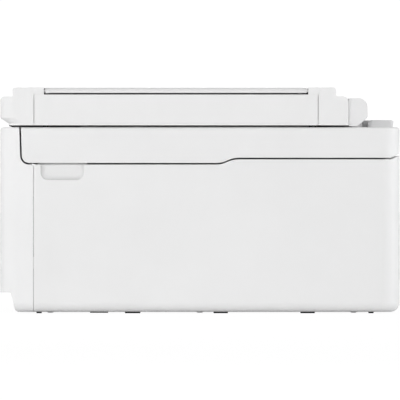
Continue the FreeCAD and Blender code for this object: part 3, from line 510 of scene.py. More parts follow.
def display_trim():
    """The display's picture area with three tiles, their icons, and two keys beside it."""
    low, high = box_mm("touch_display")
    face = low.y
    x0, x1 = low.x + 5, high.x - 15
    z0, z1 = low.z + 3.4, high.z - 3.4
    screen = [((x0, face - PROUD, z0), (x1, face + 0.2, z1))]
    blocks("display_screen", "chassis", "screen_dark", screen, 1.2, "y")
    gap = 2.2
    tile = (x1 - x0 - 4 * gap) / 3
    lefts = [x0 + gap + k * (tile + gap) for k in range(3)]
    tiles = [((left, face - 2 * PROUD, z0 + 6.5), (left + tile, face, z1 - 6.5)) for left in lefts]
    blocks("display_tiles", "chassis", "screen_tile", tiles, 1.6, "y")

    def mark(bm, outline, layers=3):
        prism(bm, outline, face - layers * PROUD, face, "y")

    def bar(bm, u0, u1, v0, v1, r=0.0):
        mark(bm, rounded(u0, u1, v0, v1, r))

    def icons(bm):
        copy_x, scan_x, setup_x = (left + tile / 2 for left in lefts)
        zc = (z0 + z1) / 2 + 1
        # Two sheets, for copying.
        for dx, dz in ((-1.2, 1.2), (1.4, -1.2)):
            cx, cz = copy_x + dx, zc + dz
            bar(bm, cx - 2.6, cx + 2.6, cz + 3.2, cz + 3.6)
            bar(bm, cx - 2.6, cx + 2.6, cz - 3.6, cz - 3.2)
            bar(bm, cx - 2.6, cx - 2.2, cz - 3.2, cz + 3.2)
            bar(bm, cx + 2.2, cx + 2.6, cz - 3.2, cz + 3.2)
        # A sheet on a glass plate with an arrow, for scanning.
        bar(bm, scan_x - 4.2, scan_x + 4.2, zc - 3.4, zc - 2.6, 0.3)
        bar(bm, scan_x - 4.2, scan_x + 4.2, zc - 1.6, zc - 1.0, 0.2)
        mark(bm, [(scan_x - 2.2, zc + 1.6), (scan_x, zc - 0.4), (scan_x + 2.2, zc + 1.6)])
        bar(bm, scan_x - 0.5, scan_x + 0.5, zc + 1.6, zc + 4.4)
        # A cog, for settings.
        mark(bm, notched(setup_x, zc, 32, (4.0, 4.0, 3.0, 3.0)))
        # The page dots, the signal bars, a line under each icon and the ink levels.
        for k, cx in enumerate((copy_x, scan_x, setup_x)):
            mark(bm, circle(scan_x - 3 + 3 * k, z0 + 3, 0.5, 12))
            bar(bm, x1 - 8 + 1.6 * k, x1 - 7 + 1.6 * k, z1 - 4.6, z1 - 3.6 + 0.8 * k)
            bar(bm, cx - 4, cx + 4, z0 + 8.0, z0 + 8.5, 0.2)
        for k, level in enumerate((2.2, 1.5)):
            bar(bm, x0 + 3 + 2.2 * k, x0 + 4.4 + 2.2 * k, z1 - 4.8, z1 - 4.8 + level, 0.3)

    piece("display_marks", "chassis", "screen_mark", icons)

    def keys(bm):
        cx = (x1 + high.x) / 2
        home, back = high.z - 12, low.z + 12
        mark(bm, [(cx - 2.6, home), (cx, home + 2.4), (cx + 2.6, home)], 2)
        bar(bm, cx - 1.8, cx + 1.8, home - 2.4, home - 0.3)
        arc_band(bm, (cx, back), (1.9, 2.4), face - 2 * PROUD, face, -math.pi / 2, math.pi * 1.3, 20)
        bar(bm, cx - 2.2, cx, back - 2.4, back - 1.9)

    piece("display_keys", "chassis", "screen_mark", keys)


def button_trim():
    """The mark on the power button, and the light bar across the fascia."""
    low, _ = box_mm("power_button")
    cx, _, cz = centre("power_button")
    front, back = low.y - PROUD, low.y + 0.1
    opening = 1.2  # radians left open at the top of the ring

    def mark(bm):
        arc_band(bm, (cx, cz), (2.0, 2.5), front, back, (math.pi + opening) / 2, TURN - opening, 28)
        slab(bm, (cx - 0.25, front, cz + 0.6), (cx + 0.25, back, cz + 3.0), 0.1, "y")

    piece("power_mark", "power_button", "print_grey", mark)
    fascia_low, _ = box_mm("front_fascia")
    face = fascia_low.y
    bar = [((-59.8, face + 0.15, 111.5), (59.8, face + 2.4, 113.3))]
    blocks("light_bar", "chassis", "light_bar", bar, 0.85, "y", 0.1)


# ---- trim: inside the case ------------------------------------------------------------------
def circuit_board(name, outline, front, back, axis, chips, plugs):
    """A board with its chips and its white connectors, each from (low corner, high corner)."""

    def draw(bm):
        prism(bm, outline, front, back, axis)

    piece(name, "chassis", "circuit", draw, 0.1)
    blocks(name + "_chips", "chassis", "chip", chips, 0.3, axis, 0.1)
    blocks(name + "_plugs", "chassis", "label", plugs, 0.3, axis, 0.15)


def control_board():
    """The board behind the display and the power button. Gives the place of its rear face."""
    display_low, display_high = box_mm("touch_display")
    _, button_high = box_mm("power_button")
    front = button_high.y + 1.5  # the pressed button stops 0.3 mm short of the board
    back = front + 1.6
    left, right, step = display_low.x - 2.3, -90, -140  # right of the step the paper opening is below
    board = [(left, 96), (step, 96), (step, 109.5), (right, 109.5), (right, 160), (left, 160)]
    chips = [
        ((x, back, z), (x + w, back + 1.4, z + h))
        for x, z, w, h in (
            (-170, 124, 16, 16), (-148, 140, 9, 6), (-146, 122, 6, 6), (-128, 128, 10, 7),
            (-182, 148, 5, 4), (-112, 146, 7, 5), (-134, 148, 4, 8), (-186, 130, 4, 9),
        )
    ]
    plugs = [((-194, back, 98), (-190, back + 4, 112)), ((-124, back, 111), (-102, back + 5, 116))]
    circuit_board("control_board", board, front, back, "y", chips, plugs)
    corners = [(-192, 99), (-192, 157), (-94, 113), (-94, 157)]
    post = sleeve(display_high.y - 0.6, front, 0.0, 2.6, 0.2)
    repeated("control_board_posts", "chassis", "fascia_white", post, corners, "y")
    screws("control_board_screws", corners, "y", back, 1, 2.4)
    return back


def main_board():
    """The board on the left wall. Gives the place of its inner face, which the USB port sits on."""
    usb_low, _ = box_mm("usb_port")
    face = usb_low.x - 0.8
    back = face - 1.5
    chips = [
        ((face, y, z), (face + h, y + w, z + d))
        for y, z, w, d, h in (
            (84, 84, 24, 24, 2.2), (116, 92, 14, 10, 1.2), (116, 78, 14, 10, 1.2), (50, 60, 12, 9, 1.4),
            (30, 96, 8, 8, 1.2), (140, 98, 9, 14, 1.6), (66, 76, 7, 5, 1.0), (100, 116, 16, 6, 1.2),
            (40, 78, 5, 9, 1.0), (146, 84, 6, 6, 1.0), (28, 60, 8, 12, 1.6), (72, 96, 5, 5, 0.9),
        )
    ]
    plugs = [
        ((face, y, z), (face + 6, y + w, z + 5))
        for y, z, w in (
            (26, 120, 20), (52, 120, 12), (70, 120, 9), (118, 56, 22), (86, 56, 16), (146, 116, 12),
        )
    ]
    circuit_board("main_board", rounded(20, 163, 50, 128, 1.5), back, face, "x", chips, plugs)
    corners = [(y, z) for y in (24, 159) for z in (54, 124)]
    post = sleeve(-214.3, back, 0.0, 3.0, 0.2)
    repeated("main_board_posts", "chassis", "housing_white", post, corners, "x")
    screws("main_board_screws", corners, "x", face, 1, 2.6)

    sizes = ((128, 111, 5.0, 10.5), (140, 68, 6.0, 12.0), (154, 70, 4.0, 9.0), (60, 90, 3.2, 7.0))

    def cans(bm):
        for y, z, r, h in sizes:
            lathe(bm, sleeve(face, face + h, 0.0, r, 0.6), y, z, "x", 24)

    piece("main_board_cans", "chassis", "chip", cans)
    return face


def electronics():
    """Both boards, the ribbon between them, the carriage motor's trim and the sockets' contacts."""
    panel_back = control_board()
    board_face = main_board()
    height = 105
    route = [
        (-192, panel_back + 4.2), (-198, panel_back + 5.0), (-205, -160), (-210, -150), (-212, -140),
        (-212, -60), (-212, -10), (-209, 6), (-204, 17), (-198, 28), (board_face + 0.4, 44),
    ]
    points = [(x, y, height) for x, y in route]
    strap("panel_ribbon", "chassis", "label", points, 6.0, 0.4, (0, 0, 1))

    _, motor_high = box_mm("carriage_motor")
    cx, _, cz = centre("carriage_motor")
    cap = [sleeve(motor_high.y - 3.4, motor_high.y - 2.6, 5.2, 13.2)]
    turned("carriage_motor_cap", "chassis", "chip", cap, cx, cz, "y")
    band = [sleeve(114, 130, 13.9, 14.05, 0.05)]
    turned("carriage_motor_band", "chassis", "steel", band, cx, cz, "y")

    pin = [sleeve(167, 175.45, 1.2, 1.36, 0.1)]
    for k, x in enumerate((-191.3, -182.7)):
        turned("power_pin_%d" % k, "chassis", "steel_y", pin, x, 25, "y")
    contacts = []
    for x in (-195.55, -193.05):
        for z in (66.5, 63.84):
            contacts.append(((x - 0.35, 166.2, z), (x + 0.35, 173.8, z + 0.06)))
    blocks("usb_contacts", "chassis", "copper", contacts)


def pinch_rollers():
    """Sprung rollers that press the paper on the feed roller."""
    _, feed_y, feed_z = centre("feed_roller")
    y, z = feed_y + 2, feed_z + 10.95
    places = (-90, -30, 30, 90)
    shaft = [[(-116, 0.0), (-116, 1.5), (116, 1.5), (116, 0.0)]]
    turned("pinch_shaft", "chassis", "steel", shaft, y, z, "x", 16)
    tyres = [sleeve(x - 9, x + 9, 1.5, 3.8, 0.5) for x in places]
    turned("pinch_rollers", "chassis", "rubber_grey", tyres, y, z, "x")
    lever = [
        (105.8, 91), (105.8, 94.5), (96, 94.0), (80, 87.2),
        (76.6, 85.4), (77.4, 83.4), (82, 84.6), (97, 90.6),
    ]

    def levers(bm):
        for x in places:
            for middle in (x - 18, x + 18):
                prism(bm, lever, middle - 3, middle + 3, "x")

    piece("pinch_levers", "chassis", "dark_plastic", levers, 0.3)
    coils = [sleeve(x - 8 + 1.8 * k, x - 7 + 1.8 * k, 2.0, 2.7, 0.3) for x in places for k in range(9)]
    turned("pinch_springs", "chassis", "steel", coils, 98.5, 95.6, "x", 16)


EXIT_PLACES = range(-100, 101, 40)  # the exit roller's tyres, with a pair of star wheels over each


def star_wheels():
    """Toothed wheels over the exit roller, which hold fresh print without smearing it."""
    _, _, feed_z = centre("feed_roller")
    _, y, _ = centre("exit_roller")
    z = feed_z + 11.1

    def stars(bm):
        for x in EXIT_PLACES:
            for middle in (x - 3, x + 3):
                prism(bm, notched(y, z, 36, (3.3, 4.0)), middle - 0.4, middle + 0.4, "x")

    piece("star_wheels", "chassis", "steel", stars)
    shaft = [[(-112, 0.0), (-112, 0.9), (112, 0.9), (112, 0.0)]]
    turned("star_shaft", "chassis", "steel", shaft, y, z, "x", 12)
    left, right = -166.4, 127.8
    front, rear = y - 5.4, y + 5.4
    cheek = 1.6
    bar = [
        ((left, front, z + 5.2), (right, rear, z + 7.4)),
        ((right - cheek, y - 3.6, z - 7.4), (right, rear, z + 6)),
        ((left, front, z - 7.4), (left + cheek, rear, z + 6)),
        ((left, front, z + 7.0), (right, y - 4.2, z + 10)),
    ]
    for x in EXIT_PLACES:
        for x0, x1 in ((x - 5.5, x - 4.3), (x + 4.3, x + 5.5)):
            bar.append(((x0, y - 4.4, z - 1.4), (x1, y + 4.4, z + 5.2)))
    blocks("star_wheel_bar", "chassis", "dark_plastic", bar, 0.2, "z", 0.25)


def strip_and_pads():
    """The encoder strip behind the carriage, and the felt that takes the waste ink."""
    frame_low, frame_high = box_mm("engine_frame")
    strip = [((frame_low.x + 23.8, 93.3, 121.9), (frame_high.x - 1.8, 93.5, 125.4))]
    blocks("encoder_strip", "chassis", "frosted", strip)
    base_low, _ = box_mm("base_chassis")
    floor_z = base_low.z + 2.6
    pads = [((140, -140, floor_z), (198, -20, floor_z + 5)), ((150, 96, floor_z), (196, 140, floor_z + 4))]
    blocks("waste_ink_pad", "chassis", "felt", pads, 4, "z", 0.8)


def rollers():
    """Rubber and steel on the turning shafts, each riding on its own roller."""
    _, cy, cz = centre("feed_roller")
    coating = [sleeve(-119.1, 119.1, 4.0, 7.06, 0.1)]
    turned("feed_coating", "feed_roller", "rubber_grey", coating, cy, cz, "x", 48)
    shafts = [sleeve(-166.2, -119.2, 3.9, 4.03, 0.02), sleeve(119.2, 127.8, 3.9, 4.03, 0.02)]
    turned("feed_shaft", "feed_roller", "steel", shafts, cy, cz, "x", 32)

    _, cy, cz = centre("exit_roller")
    half = [(6.05, 3.2), (6.05, 6.7), (5.7, 7.06), (2.3, 7.06), (2.0, 6.8), (1.7, 7.06)]  # a grooved tyre
    tyres = []
    for x in EXIT_PLACES:
        tyres.append([(x - w, r) for w, r in half] + [(x + w, r) for w, r in half[::-1]])
    turned("exit_tyres", "exit_roller", "rubber_grey", tyres, cy, cz, "x", 40)

    _, cy, cz = centre("pick_roller")

    def tread(bm):
        prism(bm, notched(cy, cz, 144, (10.06, 10.06, 9.96, 9.96)), -9.04, 9.04, "x")

    piece("pick_tyre", "pick_roller", "rubber_grey", tread)


# ---- trim: carriage and service station -----------------------------------------------------
def carriage_trim():
    """The carriage's board, with the labels, dots and grips of the cartridges and the latches."""
    low, high = box_mm("carriage")
    board_z = 125.2
    board = [((low.x + 5, 67, board_z - 1.2), (high.x - 5, 79, board_z))]
    blocks("carriage_board", "carriage", "circuit", board, 0.8, "z", 0.1)
    spans = ((145, 154), (160, 174), (181, 189), (192, 197))
    chips = [((x0, 69, board_z), (x1, 75, board_z + 1.2)) for x0, x1 in spans]
    blocks("carriage_chips", "carriage", "chip", chips, 0.3, "z", 0.1)
    plug = [((166, 75.6, board_z), (186, 78.6, board_z + 2.2))]
    blocks("carriage_plug", "carriage", "label", plug, 0.3, "z", 0.1)
    cartridge_trim("cartridge_black", ["chip"])
    cartridge_trim("cartridge_color", ["cyan", "magenta", "yellow"])
    for name in ("latch_black", "latch_color"):
        low, high = box_mm(name)
        y0, y1 = low.y + 0.9, low.y + 2.4
        lefts = [low.x + 4 + 3 * k for k in range(7)]
        ridges = [((x, y0, high.z - 7), (x + 1.2, y1, high.z - 2.2)) for x in lefts]
        blocks(name + "_ridges", name, "latch_blue", ridges, 0.2, "z", 0.15)


def cartridge_trim(name, inks):
    """A blank label with a dot for each ink, and the ridges of the grip."""
    low, high = box_mm(name)
    top = high.z - 3
    x0, x1 = low.x + 3.5, high.x - 3.5
    label = [((x0, low.y + 9, top), (x1, high.y - 3, top + 0.08))]
    blocks(name + "_label", "carriage", "label", label, 1.5, "z")
    for k, ink in enumerate(inks):
        middle = (x0 + x1) / 2 + (k - (len(inks) - 1) / 2) * 6.6
        dot = [((middle - 2.6, low.y + 12, top + 0.08), (middle + 2.6, low.y + 17.2, top + 0.14))]
        blocks("%s_%s" % (name, ink), "carriage", ink, dot, 1.0, "z")
    lefts = [low.x + 7 + 2.6 * k for k in range(7)]
    grip = [((x, low.y, high.z - 0.1), (x + 1.2, low.y + 5.2, high.z + 0.35)) for x in lefts]
    blocks(name + "_grip", "carriage", "ink_black", grip, 0.2, "z", 0.1)


def service_trim():
    """Felts, sealing lips and wipers, one set for each print head."""
    _, high = box_mm("service_sled")
    z0, z1 = high.z - 0.9, high.z - 0.05
    front, rear, lip = 32.4, 53.6, 1.2
    lips, felts, wipers = [], [], []
    for left in (143.0, 177.5):
        x0, x1 = left + 0.4, left + 19.1
        lips += [
            ((x0, front, z0), (x1, front + lip, z1)),
            ((x0, rear - lip, z0), (x1, rear, z1)),
            ((x0, front + lip, z0), (x0 + lip, rear - lip, z1)),
            ((x1 - lip, front + lip, z0), (x1, rear - lip, z1)),
        ]
        felts.append(((left + 2.2, 34.2, 73.9), (left + 17.3, 51.8, 76)))
        wipers.append(((left - 0.1, 59.9, 74), (left + 19.6, 61.3, high.z)))
    blocks("cap_felts", "service_sled", "felt", felts, 1, "z", 0.3)
    blocks("cap_lips", "service_sled", "rubber_black", lips + wipers, 0.3, "z")


# ---- trim: trays ------------------------------------------------------------------------------
def output_trim():
    """Ribs on the output tray, and ridges on its extension and its stop."""
    low, _ = box_mm("output_tray")
    top = 56.2
    spans = [(x, low.y + 6) for x in (-108, -84, -60, 60, 84, 108)] + [(x, -126) for x in (-36, -12, 12, 36)]
    ribs = [((x - 0.8, front, top - 0.2), (x + 0.8, -48, top + 0.7)) for x, front in spans]
    blocks("output_ribs", "chassis", "dark_plastic", ribs, 0.3, "x", 0.25)
    low, _ = box_mm("output_extension")
    ridges = [((-30, -72 - 5 * k, low.z + 1.5), (30, -70 - 5 * k, low.z + 1.95)) for k in range(3)]
    blocks("extension_ridges", "output_extension", "dark_plastic", ridges, 0.5, "z")
    _, high = box_mm("output_stop")
    ridges = [((-20, high.y - 5.0 - 3 * k, 53.0), (20, high.y - 3.8 - 3 * k, 53.5)) for k in range(3)]
    blocks("stop_ridges", "output_stop", "dark_plastic", ridges, 0.3, "z")


def paper_tray_trim():
    """The pick pad, size marks and runners on the tray's floor, and the guides' grips."""
    floor_z = 8.0
    pad = [((-14, 92, floor_z), (14, 118, floor_z + 0.25))]
    blocks("pick_pad", "paper_tray", "cork", pad, 2, "z")
    ticks = []
    for distance in (66, 74.5, 83, 96, 105.5):
        for x in (-distance, distance):
            ticks.append(((x - 0.3, -104, floor_z), (x + 0.3, -98, floor_z + 0.05)))
    for y in (-146, -120, -96, -70, -40):
        ticks.append(((30, y - 0.3, floor_z), (36, y + 0.3, floor_z + 0.05)))
    blocks("tray_ticks", "paper_tray", "label", ticks)
    runners = [((x - 0.6, -88, floor_z), (x + 0.6, 128, floor_z + 0.15)) for x in (-52, -26, 26, 52)]
    blocks("tray_runners", "paper_tray", "grey_plastic", runners, 0.1, "z")
    for side, x0, x1 in (("right", 111.25, 112.0), ("left", -112.0, -111.25)):
        ridges = [((x0, -56 + 3.2 * k, 14), (x1, -54.6 + 3.2 * k, 31)) for k in range(6)]
        name, body = "width_grip_" + side, "width_guide_" + side
        blocks(name, body, "dark_plastic", ridges, 0.2, "z", 0.1)
    lefts = [start + 3.6 * k for start in (-20, 5.2) for k in range(5)]
    ridges = [((x, -158.6, 16), (x + 1.4, -157.9, 30)) for x in lefts]
    blocks("length_grip", "length_guide", "dark_plastic", ridges, 0.2, "z", 0.1)


# ---- trim: lid and feeder ---------------------------------------------------------------------
PICK_SHAFT, DRIVE_SHAFT, TURN_SHAFT = (-104, 193.6), (-134, 189.1), (-168.5, 188.2)  # X and Z, along Y
FEED_Y = (-120.6, 78.6)  # the front and rear walls of the feeder's well


def feeder_guides():
    """Ribs, the sheet guide and the pad under the feeder's rollers."""
    y0, y1 = FEED_Y
    ramp = [(-86.3, 176.8), (-86.3, 187.9), (-108, 187.9), (-150, 179.6), (-154, 178.4), (-154, 176.8)]

    def ribs(bm):
        for k in range(13):
            y = y0 + 3 + k * (y1 - y0 - 6) / 12
            prism(bm, ramp, y - 0.9, y + 0.9, "y")

    piece("feeder_ribs", "lid", "dark_plastic", ribs, 0.2)
    sheet = [
        (-86.3, 186.0), (-86.3, 187.4), (-108, 187.4), (-150, 179.0), (-153, 178.0), (-153, 176.8),
        (-150, 176.8), (-108, 186.0),
    ]

    def guide(bm):
        prism(bm, sheet, y0, y1, "y")

    piece("feeder_guide", "lid", "dark_plastic", guide, 0.2)
    pad = [((-112, -33, 187.4), (-98, -7, 188.1))]
    blocks("separation_pad", "lid", "cork", pad, 1.0, "z", 0.1)


def feeder_rollers():
    """Three shafts with their tyres and gears, and the arm that carries the pick roller."""
    y0, y1 = FEED_Y

    rods = ((PICK_SHAFT, 1.6, -37, -3), (DRIVE_SHAFT, 2.4, y0, y1), (TURN_SHAFT, 2.6, y0, y1))

    def shafts(bm):
        for shaft, r, a, b in rods:
            lathe(bm, [(a, 0.0), (a, r), (b, r), (b, 0.0)], *shaft, "y", 20)

    piece("feeder_shafts", "lid", "steel_y", shafts)

    def tyres(bm):
        lathe(bm, sleeve(-32, -8, 1.6, 5.2, 0.5), *PICK_SHAFT, "y", 40)
        lathe(bm, sleeve(-34, -6, 2.4, 6.0, 0.5), *DRIVE_SHAFT, "y", 40)
        for y in (-96, -58, -20, 18, 56):
            lathe(bm, sleeve(y - 7, y + 7, 2.6, 8.4, 0.5), *TURN_SHAFT, "y", 44)

    piece("feeder_tyres", "lid", "rubber_grey", tyres)
    cheek = [
        (-140.5, 186), (-140.5, 193), (-136, 196.4), (-110, 198.2), (-99.5, 198.2), (-98.4, 192.8),
        (-104, 190.4), (-126, 187.6), (-132, 184.4),
    ]
    bridge = [(-140.5, 193), (-136, 196.4), (-110, 198.2), (-110, 196.8), (-136, 195.0), (-139.4, 192.6)]

    def arm(bm):
        for y in (-37.5, -4.5):
            prism(bm, cheek, y, y + 2, "y")
        prism(bm, bridge, -37.5, -2.5, "y")

    piece("feeder_arm", "lid", "latch_blue", arm, 0.2)

    def gears(bm):
        for (x, z), teeth, r in ((DRIVE_SHAFT, 26, 8.6), ((-151.2, 188.0), 24, 8.0), (TURN_SHAFT, 26, 8.6)):
            prism(bm, notched(x, z, 4 * teeth, (r - 1.5, r, r, r - 1.5)), y0 + 1, y0 + 5.5, "y")

    piece("feeder_gears", "lid", "gear_white", gears)


def feeder_tray_trim():
    """Size marks and ribs on the feeder tray's floor, and the grips of its two guides."""
    floor_z, middle = 188.0, -21.0
    ticks = []
    for reach in (107, 85, 63):
        for y in (middle - reach, middle + reach):
            ticks.append(((34, y - 0.3, floor_z), (42, y + 0.3, floor_z + 0.05)))
    blocks("feeder_ticks", "lid", "print_grey", ticks)
    ribs = [((54 + 24 * k, -126, floor_z), (55.4 + 24 * k, 84, floor_z + 0.3)) for k in range(6)]
    blocks("feeder_floor_ribs", "lid", "housing_white", ribs, 0.1, "z")
    for name in ("adf_guide_front", "adf_guide_rear"):
        _, y, _ = centre(name)
        ridges = [((-32 + 4 * k, y - 8, 189.8), (-30.4 + 4 * k, y + 8, 190.3)) for k in range(8)]
        blocks(name + "_grip", name, "grey_plastic", ridges, 0.3, "z")


def lid_painted_shade_strips():
    """Pads between the lid and the deck, and black strips in the lid's open joints that darken them: painted
    shade.
    """
    base_low, _ = box_mm("lid_base")
    _, deck_high = box_mm("scanner_top")
    bottom, top = deck_high.z + 0.12, base_low.z + 0.05

    def pads(bm):
        for side in (1, -1):
            lathe(bm, sleeve(bottom, top, 0.0, 3.6, 0.4), side * 208.5, 102.5, "z", 24)
            lathe(bm, sleeve(bottom, top, 0.0, 2.4, 0.4), side * 196.0, -140.0, "z", 24)

    piece("lid_bumpers", "lid", "rubber_black", pads)

    shell_low, _ = box_mm("lid_shell")
    rim = shell_low.z
    _, cover_high = box_mm("adf_tray_cover")
    left, right = -74, cover_high.x - 0.4
    ledge, lip = 198.45, 203.6
    # black strips under the lid's front rim and in the tray cover's two joints: painted shade where the
    # joints would only be in shadow
    strips = [
        ((-204, -173.2, rim - 0.5), (204, -170.9, rim)),
        ((left, -141.15, ledge), (right, -140.9, lip)),
        ((left, 98.0, ledge), (right, 98.25, lip)),
    ]
    blocks("lid_painted_shade_strips", "lid", "rubber_black", strips, 0.1, "z")


# ---- trim: scanner ------------------------------------------------------------------------------
def scan_head_trim():
    """The lamp, the lens and the skids on top of the scan head."""
    low, high = box_mm("scan_head")
    top = high.z
    lamp = [((low.x + 3.0, low.y + 4, top), (low.x + 6.4, high.y - 4, top + 0.2))]
    blocks("scan_light", "scan_head", "frosted", lamp, 0.8, "z")
    lens = [((low.x + 10.0, low.y + 4, top), (low.x + 12.0, high.y - 4, top + 0.15))]
    blocks("scan_lens", "scan_head", "lens", lens, 0.6, "z")
    skids = [((low.x + 4, y, top), (high.x - 4, y + 3, top + 0.4)) for y in (low.y + 0.4, high.y - 3.4)]
    blocks("scan_skids", "scan_head", "gear_white", skids, 1.2, "z")


def scanner_liner():
    """A dark liner over the case's stepped floor and side walls, with a gap round the stay arm."""
    front_floor, rear_floor, thickness = 138.95, 143.65, 0.4
    left, right, rear = -213.6, 213.6, 172.0
    gap_left, gap_right, gap_front, gap_rear = -193.0, -177.5, 50.0, 76.0

    def section(back):
        lower = [(-157.0, front_floor), (19.5, front_floor), (31.0, rear_floor), (back, rear_floor)]
        return lower + [(y, z + thickness) for y, z in lower[::-1]]

    def liner(bm):
        prism(bm, section(rear), left, gap_left, "x")
        prism(bm, section(rear), gap_right, right, "x")
        prism(bm, section(gap_front), gap_left, gap_right, "x")
        slab(bm, (gap_left, gap_rear, rear_floor), (gap_right, rear, rear_floor + thickness))
        for x in (left - 0.6, right + 0.2):
            slab(bm, (x, -150, front_floor + 5), (x + thickness, 165, 163))

    piece("scanner_liner", "scanner_unit", "dark_plastic", liner)


def scan_drive():
    """The scan head's belt, its two pulleys and its motor."""
    y, z, r = -8.0, 146.6, 3.6
    ends = (-192, 192)
    thickness, half_width = 0.7, 2

    def belt(bm):
        for bottom in (z + r, z - r - thickness):
            slab(bm, (ends[0], y - half_width, bottom), (ends[1], y + half_width, bottom + thickness))
        for x, start in zip(ends, (math.pi / 2, -math.pi / 2)):
            arc_band(bm, (x, z), (r, r + thickness), y - half_width, y + half_width, start, math.pi, 16)

    piece("scan_belt", "scanner_unit", "belt", belt)
    half = [(3.2, 0.0), (3.2, 5.0), (2.4, 5.0), (2.4, r)]
    pulley = [(y - w, q) for w, q in half] + [(y + w, q) for w, q in half[::-1]]
    places = [(x, z) for x in ends]
    repeated("scan_pulleys", "scanner_unit", "gear_white", pulley, places, "y", 28)
    motor = [sleeve(-34, -12, 0.0, 7.4, 0.6)]
    turned("scan_motor", "scanner_unit", "steel_y", motor, ends[1], z + 0.8, "y")


def deck_marks():
    """Size marks and a corner arrow beside the glass."""
    deck, ink = 168.6, 0.04

    def marks(bm):
        for y in (-60, -20, 20, 60, 88):
            slab(bm, (159.0, y - 0.25, deck), (162.5, y + 0.25, deck + ink))
        for x in (-110, -62, -2, 65, 147):
            slab(bm, (x - 0.25, 109.2, deck), (x + 0.25, 112.6, deck + ink))
        prism(bm, [(-152.4, 110.4), (-157.6, 109.6), (-153.2, 114.6)], deck, deck + ink, "z")

    piece("deck_marks", "scanner_unit", "print_grey", marks)


# ---- trim: underside ----------------------------------------------------------------------------
def underside():
    """Screws, a blank label and stiffening ribs under the base."""
    low, _ = box_mm("base_chassis")
    face = low.z
    places = [(x, y) for x in (-178, 0, 178) for y in (-136, 140)] + [(-178, 0), (178, 0)]
    screws("base_screws", places, "z", face, -1, 3.0)
    label = [((-40, -60, face - 0.06), (50, -20, face))]
    blocks("base_label", "chassis", "label", label, 2.5, "z")
    half, bottom, top = 0.7, face - 0.5, face + 0.1
    ribs = [((x - half, -130, bottom), (x + half, 140, top)) for x in (-160, -110, 110, 160)]
    ribs += [((-160, y - half, bottom), (160, y + half, top)) for y in (-130, -80, 60, 138.6)]
    blocks("base_ribs", "chassis", "grey_plastic", ribs, 0.0, "z", 0.15)


# ---- camera, floor and light ------------------------------------------------------------------
LENS, SENSOR = 800.0, 36.0  # millimetres
VIEW_WIDTH = 0.3624  # metres across the picture, at the printer's right face
VIEW_HEIGHT = 0.1028  # the camera's height
VIEW_MIDDLE = 0.0002  # the middle of the picture, along the printer's depth
WORLD_HORIZON, WORLD_ZENITH = 0.45, 0.20  # brightness of the room
BACKGROUND = 1.05  # brightness of the room as the camera sees it
FLOOR_SHADE, FLOOR_HALF = 0.84, 60.0
FLOOR_GLOW, FLOOR_SHARE = 1.06, 0.88  # white added to the floor as the camera sees it, and its share


def camera():
    data = bpy.data.cameras.new("camera")
    data.lens, data.sensor_width = LENS, SENSOR
    data.clip_end = 200
    obj = bpy.data.objects.new("camera", data)
    bpy.context.scene.collection.objects.link(obj)
    reach = LENS * VIEW_WIDTH / SENSOR
    obj.location = (CAD_BOX[1].x + reach, VIEW_MIDDLE, VIEW_HEIGHT)
    obj.rotation_euler = (math.radians(90), 0, math.radians(90))
    bpy.context.scene.camera = obj


def floor():
    """A plain matt white floor that the camera sees nearly as white as the room."""
    mesh = bpy.data.meshes.new("floor")
    corners = [(x * FLOOR_HALF, y * FLOOR_HALF, 0) for x, y in ((-1, -1), (1, -1), (1, 1), (-1, 1))]
    mesh.from_pydata(corners, [], [(0, 1, 2, 3)])
    material = bpy.data.materials.new("floor")
    material.use_nodes = True
    tree = material.node_tree
    shader = tree.nodes["Principled BSDF"]
    shader.inputs["Base Color"].default_value = (FLOOR_SHADE, FLOOR_SHADE, FLOOR_SHADE, 1)
    shader.inputs["Roughness"].default_value = 0.9
    shader.inputs["Specular IOR Level"].default_value = 0.0
    glow = tree.nodes.new("ShaderNodeEmission")
    glow.inputs["Color"].default_value = (1, 1, 1, 1)
    glow.inputs["Strength"].default_value = FLOOR_GLOW
    path = tree.nodes.new("ShaderNodeLightPath")
    share = tree.nodes.new("ShaderNodeMath")
    share.operation = "MULTIPLY"
    share.inputs[1].default_value = FLOOR_SHARE
    mix = tree.nodes.new("ShaderNodeMixShader")
    tree.links.new(path.outputs["Is Camera Ray"], share.inputs[0])
    tree.links.new(share.outputs["Value"], mix.inputs["Fac"])
    tree.links.new(shader.outputs["BSDF"], mix.inputs[1])
    tree.links.new(glow.outputs["Emission"], mix.inputs[2])
    tree.links.new(mix.outputs["Shader"], tree.nodes["Material Output"].inputs["Surface"])
    mesh.materials.append(material)
    obj = bpy.data.objects.new("floor", mesh)
    bpy.context.scene.collection.objects.link(obj)


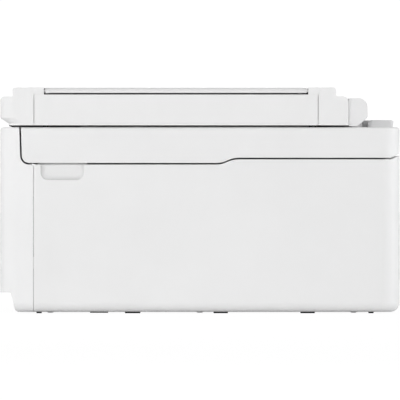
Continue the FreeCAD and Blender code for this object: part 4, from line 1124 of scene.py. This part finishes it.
def world():
    """A room that is brighter at the horizon than overhead, and plain white to the camera."""
    made = bpy.data.worlds.new("studio")
    made.use_nodes = True
    bpy.context.scene.world = made
    tree = made.node_tree
    back = tree.nodes["Background"]
    place = tree.nodes.new("ShaderNodeTexCoord")
    split = tree.nodes.new("ShaderNodeSeparateXYZ")
    tree.links.new(place.outputs["Generated"], split.inputs["Vector"])
    fade = tree.nodes.new("ShaderNodeMapRange")
    fade.interpolation_type = "SMOOTHSTEP"
    limits = {"From Min": 0.0, "From Max": 1.0, "To Min": WORLD_HORIZON, "To Max": WORLD_ZENITH}
    for socket, value in limits.items():
        fade.inputs[socket].default_value = value
    tree.links.new(split.outputs["Z"], fade.inputs["Value"])
    tree.links.new(fade.outputs["Result"], back.inputs["Strength"])
    back.inputs["Color"].default_value = (1, 1, 1, 1)
    white = tree.nodes.new("ShaderNodeBackground")
    white.inputs["Color"].default_value = (1, 1, 1, 1)
    white.inputs["Strength"].default_value = BACKGROUND
    path = tree.nodes.new("ShaderNodeLightPath")
    mix = tree.nodes.new("ShaderNodeMixShader")
    tree.links.new(path.outputs["Is Camera Ray"], mix.inputs["Fac"])
    tree.links.new(back.outputs["Background"], mix.inputs[1])
    tree.links.new(white.outputs["Background"], mix.inputs[2])
    tree.links.new(mix.outputs["Shader"], tree.nodes["World Output"].inputs["Surface"])


def softbox(name, place, size, power, colour=(1, 1, 1)):
    """A soft rectangular lamp that points at the printer."""
    data = bpy.data.lights.new(name, "AREA")
    data.shape = "RECTANGLE"
    data.size, data.size_y = size
    data.energy = power
    data.color = colour
    obj = bpy.data.objects.new(name, data)
    bpy.context.scene.collection.objects.link(obj)
    obj.location = place
    target = Vector((0, 0, 0.1))
    obj.rotation_mode = "QUATERNION"
    obj.rotation_quaternion = (target - Vector(place)).to_track_quat("-Z", "Y")
    obj.visible_camera = False


def lights():
    """Softboxes, each with its place and size in metres and its power in watts."""
    softbox("softbox_front", (0.30, -3.0, 1.0), (1.6, 1.2), 24)
    softbox("softbox_rear", (0.30, 3.0, 0.8), (1.6, 1.4), 39, (0.985, 0.99, 1.0))
    softbox("softbox_corner", (1.8, 1.8, 0.5), (1.4, 1.4), 5.5)
    softbox("softbox_side", (5.0, -0.5, 0.75), (3.0, 1.6), 77)
    softbox("softbox_near", (1.5, -1.0, 0.35), (0.8, 0.8), 4.2)
    softbox("softbox_left", (-2.8, -0.6, 1.0), (2.2, 1.6), 28)
    softbox("softbox_top", (0.0, 0.0, 3.2), (2.6, 2.6), 11)


camera()
world()
lights()
floor()
dress_cad()
display_trim()
button_trim()
electronics()
pinch_rollers()
star_wheels()
strip_and_pads()
rollers()
carriage_trim()
service_trim()
output_trim()
paper_tray_trim()
feeder_guides()
feeder_rollers()
feeder_tray_trim()
lid_painted_shade_strips()
scan_head_trim()
scanner_liner()
scan_drive()
deck_marks()
underside()

bpy.context.scene.view_settings.view_transform = "Standard"
bpy.context.view_layer.update()
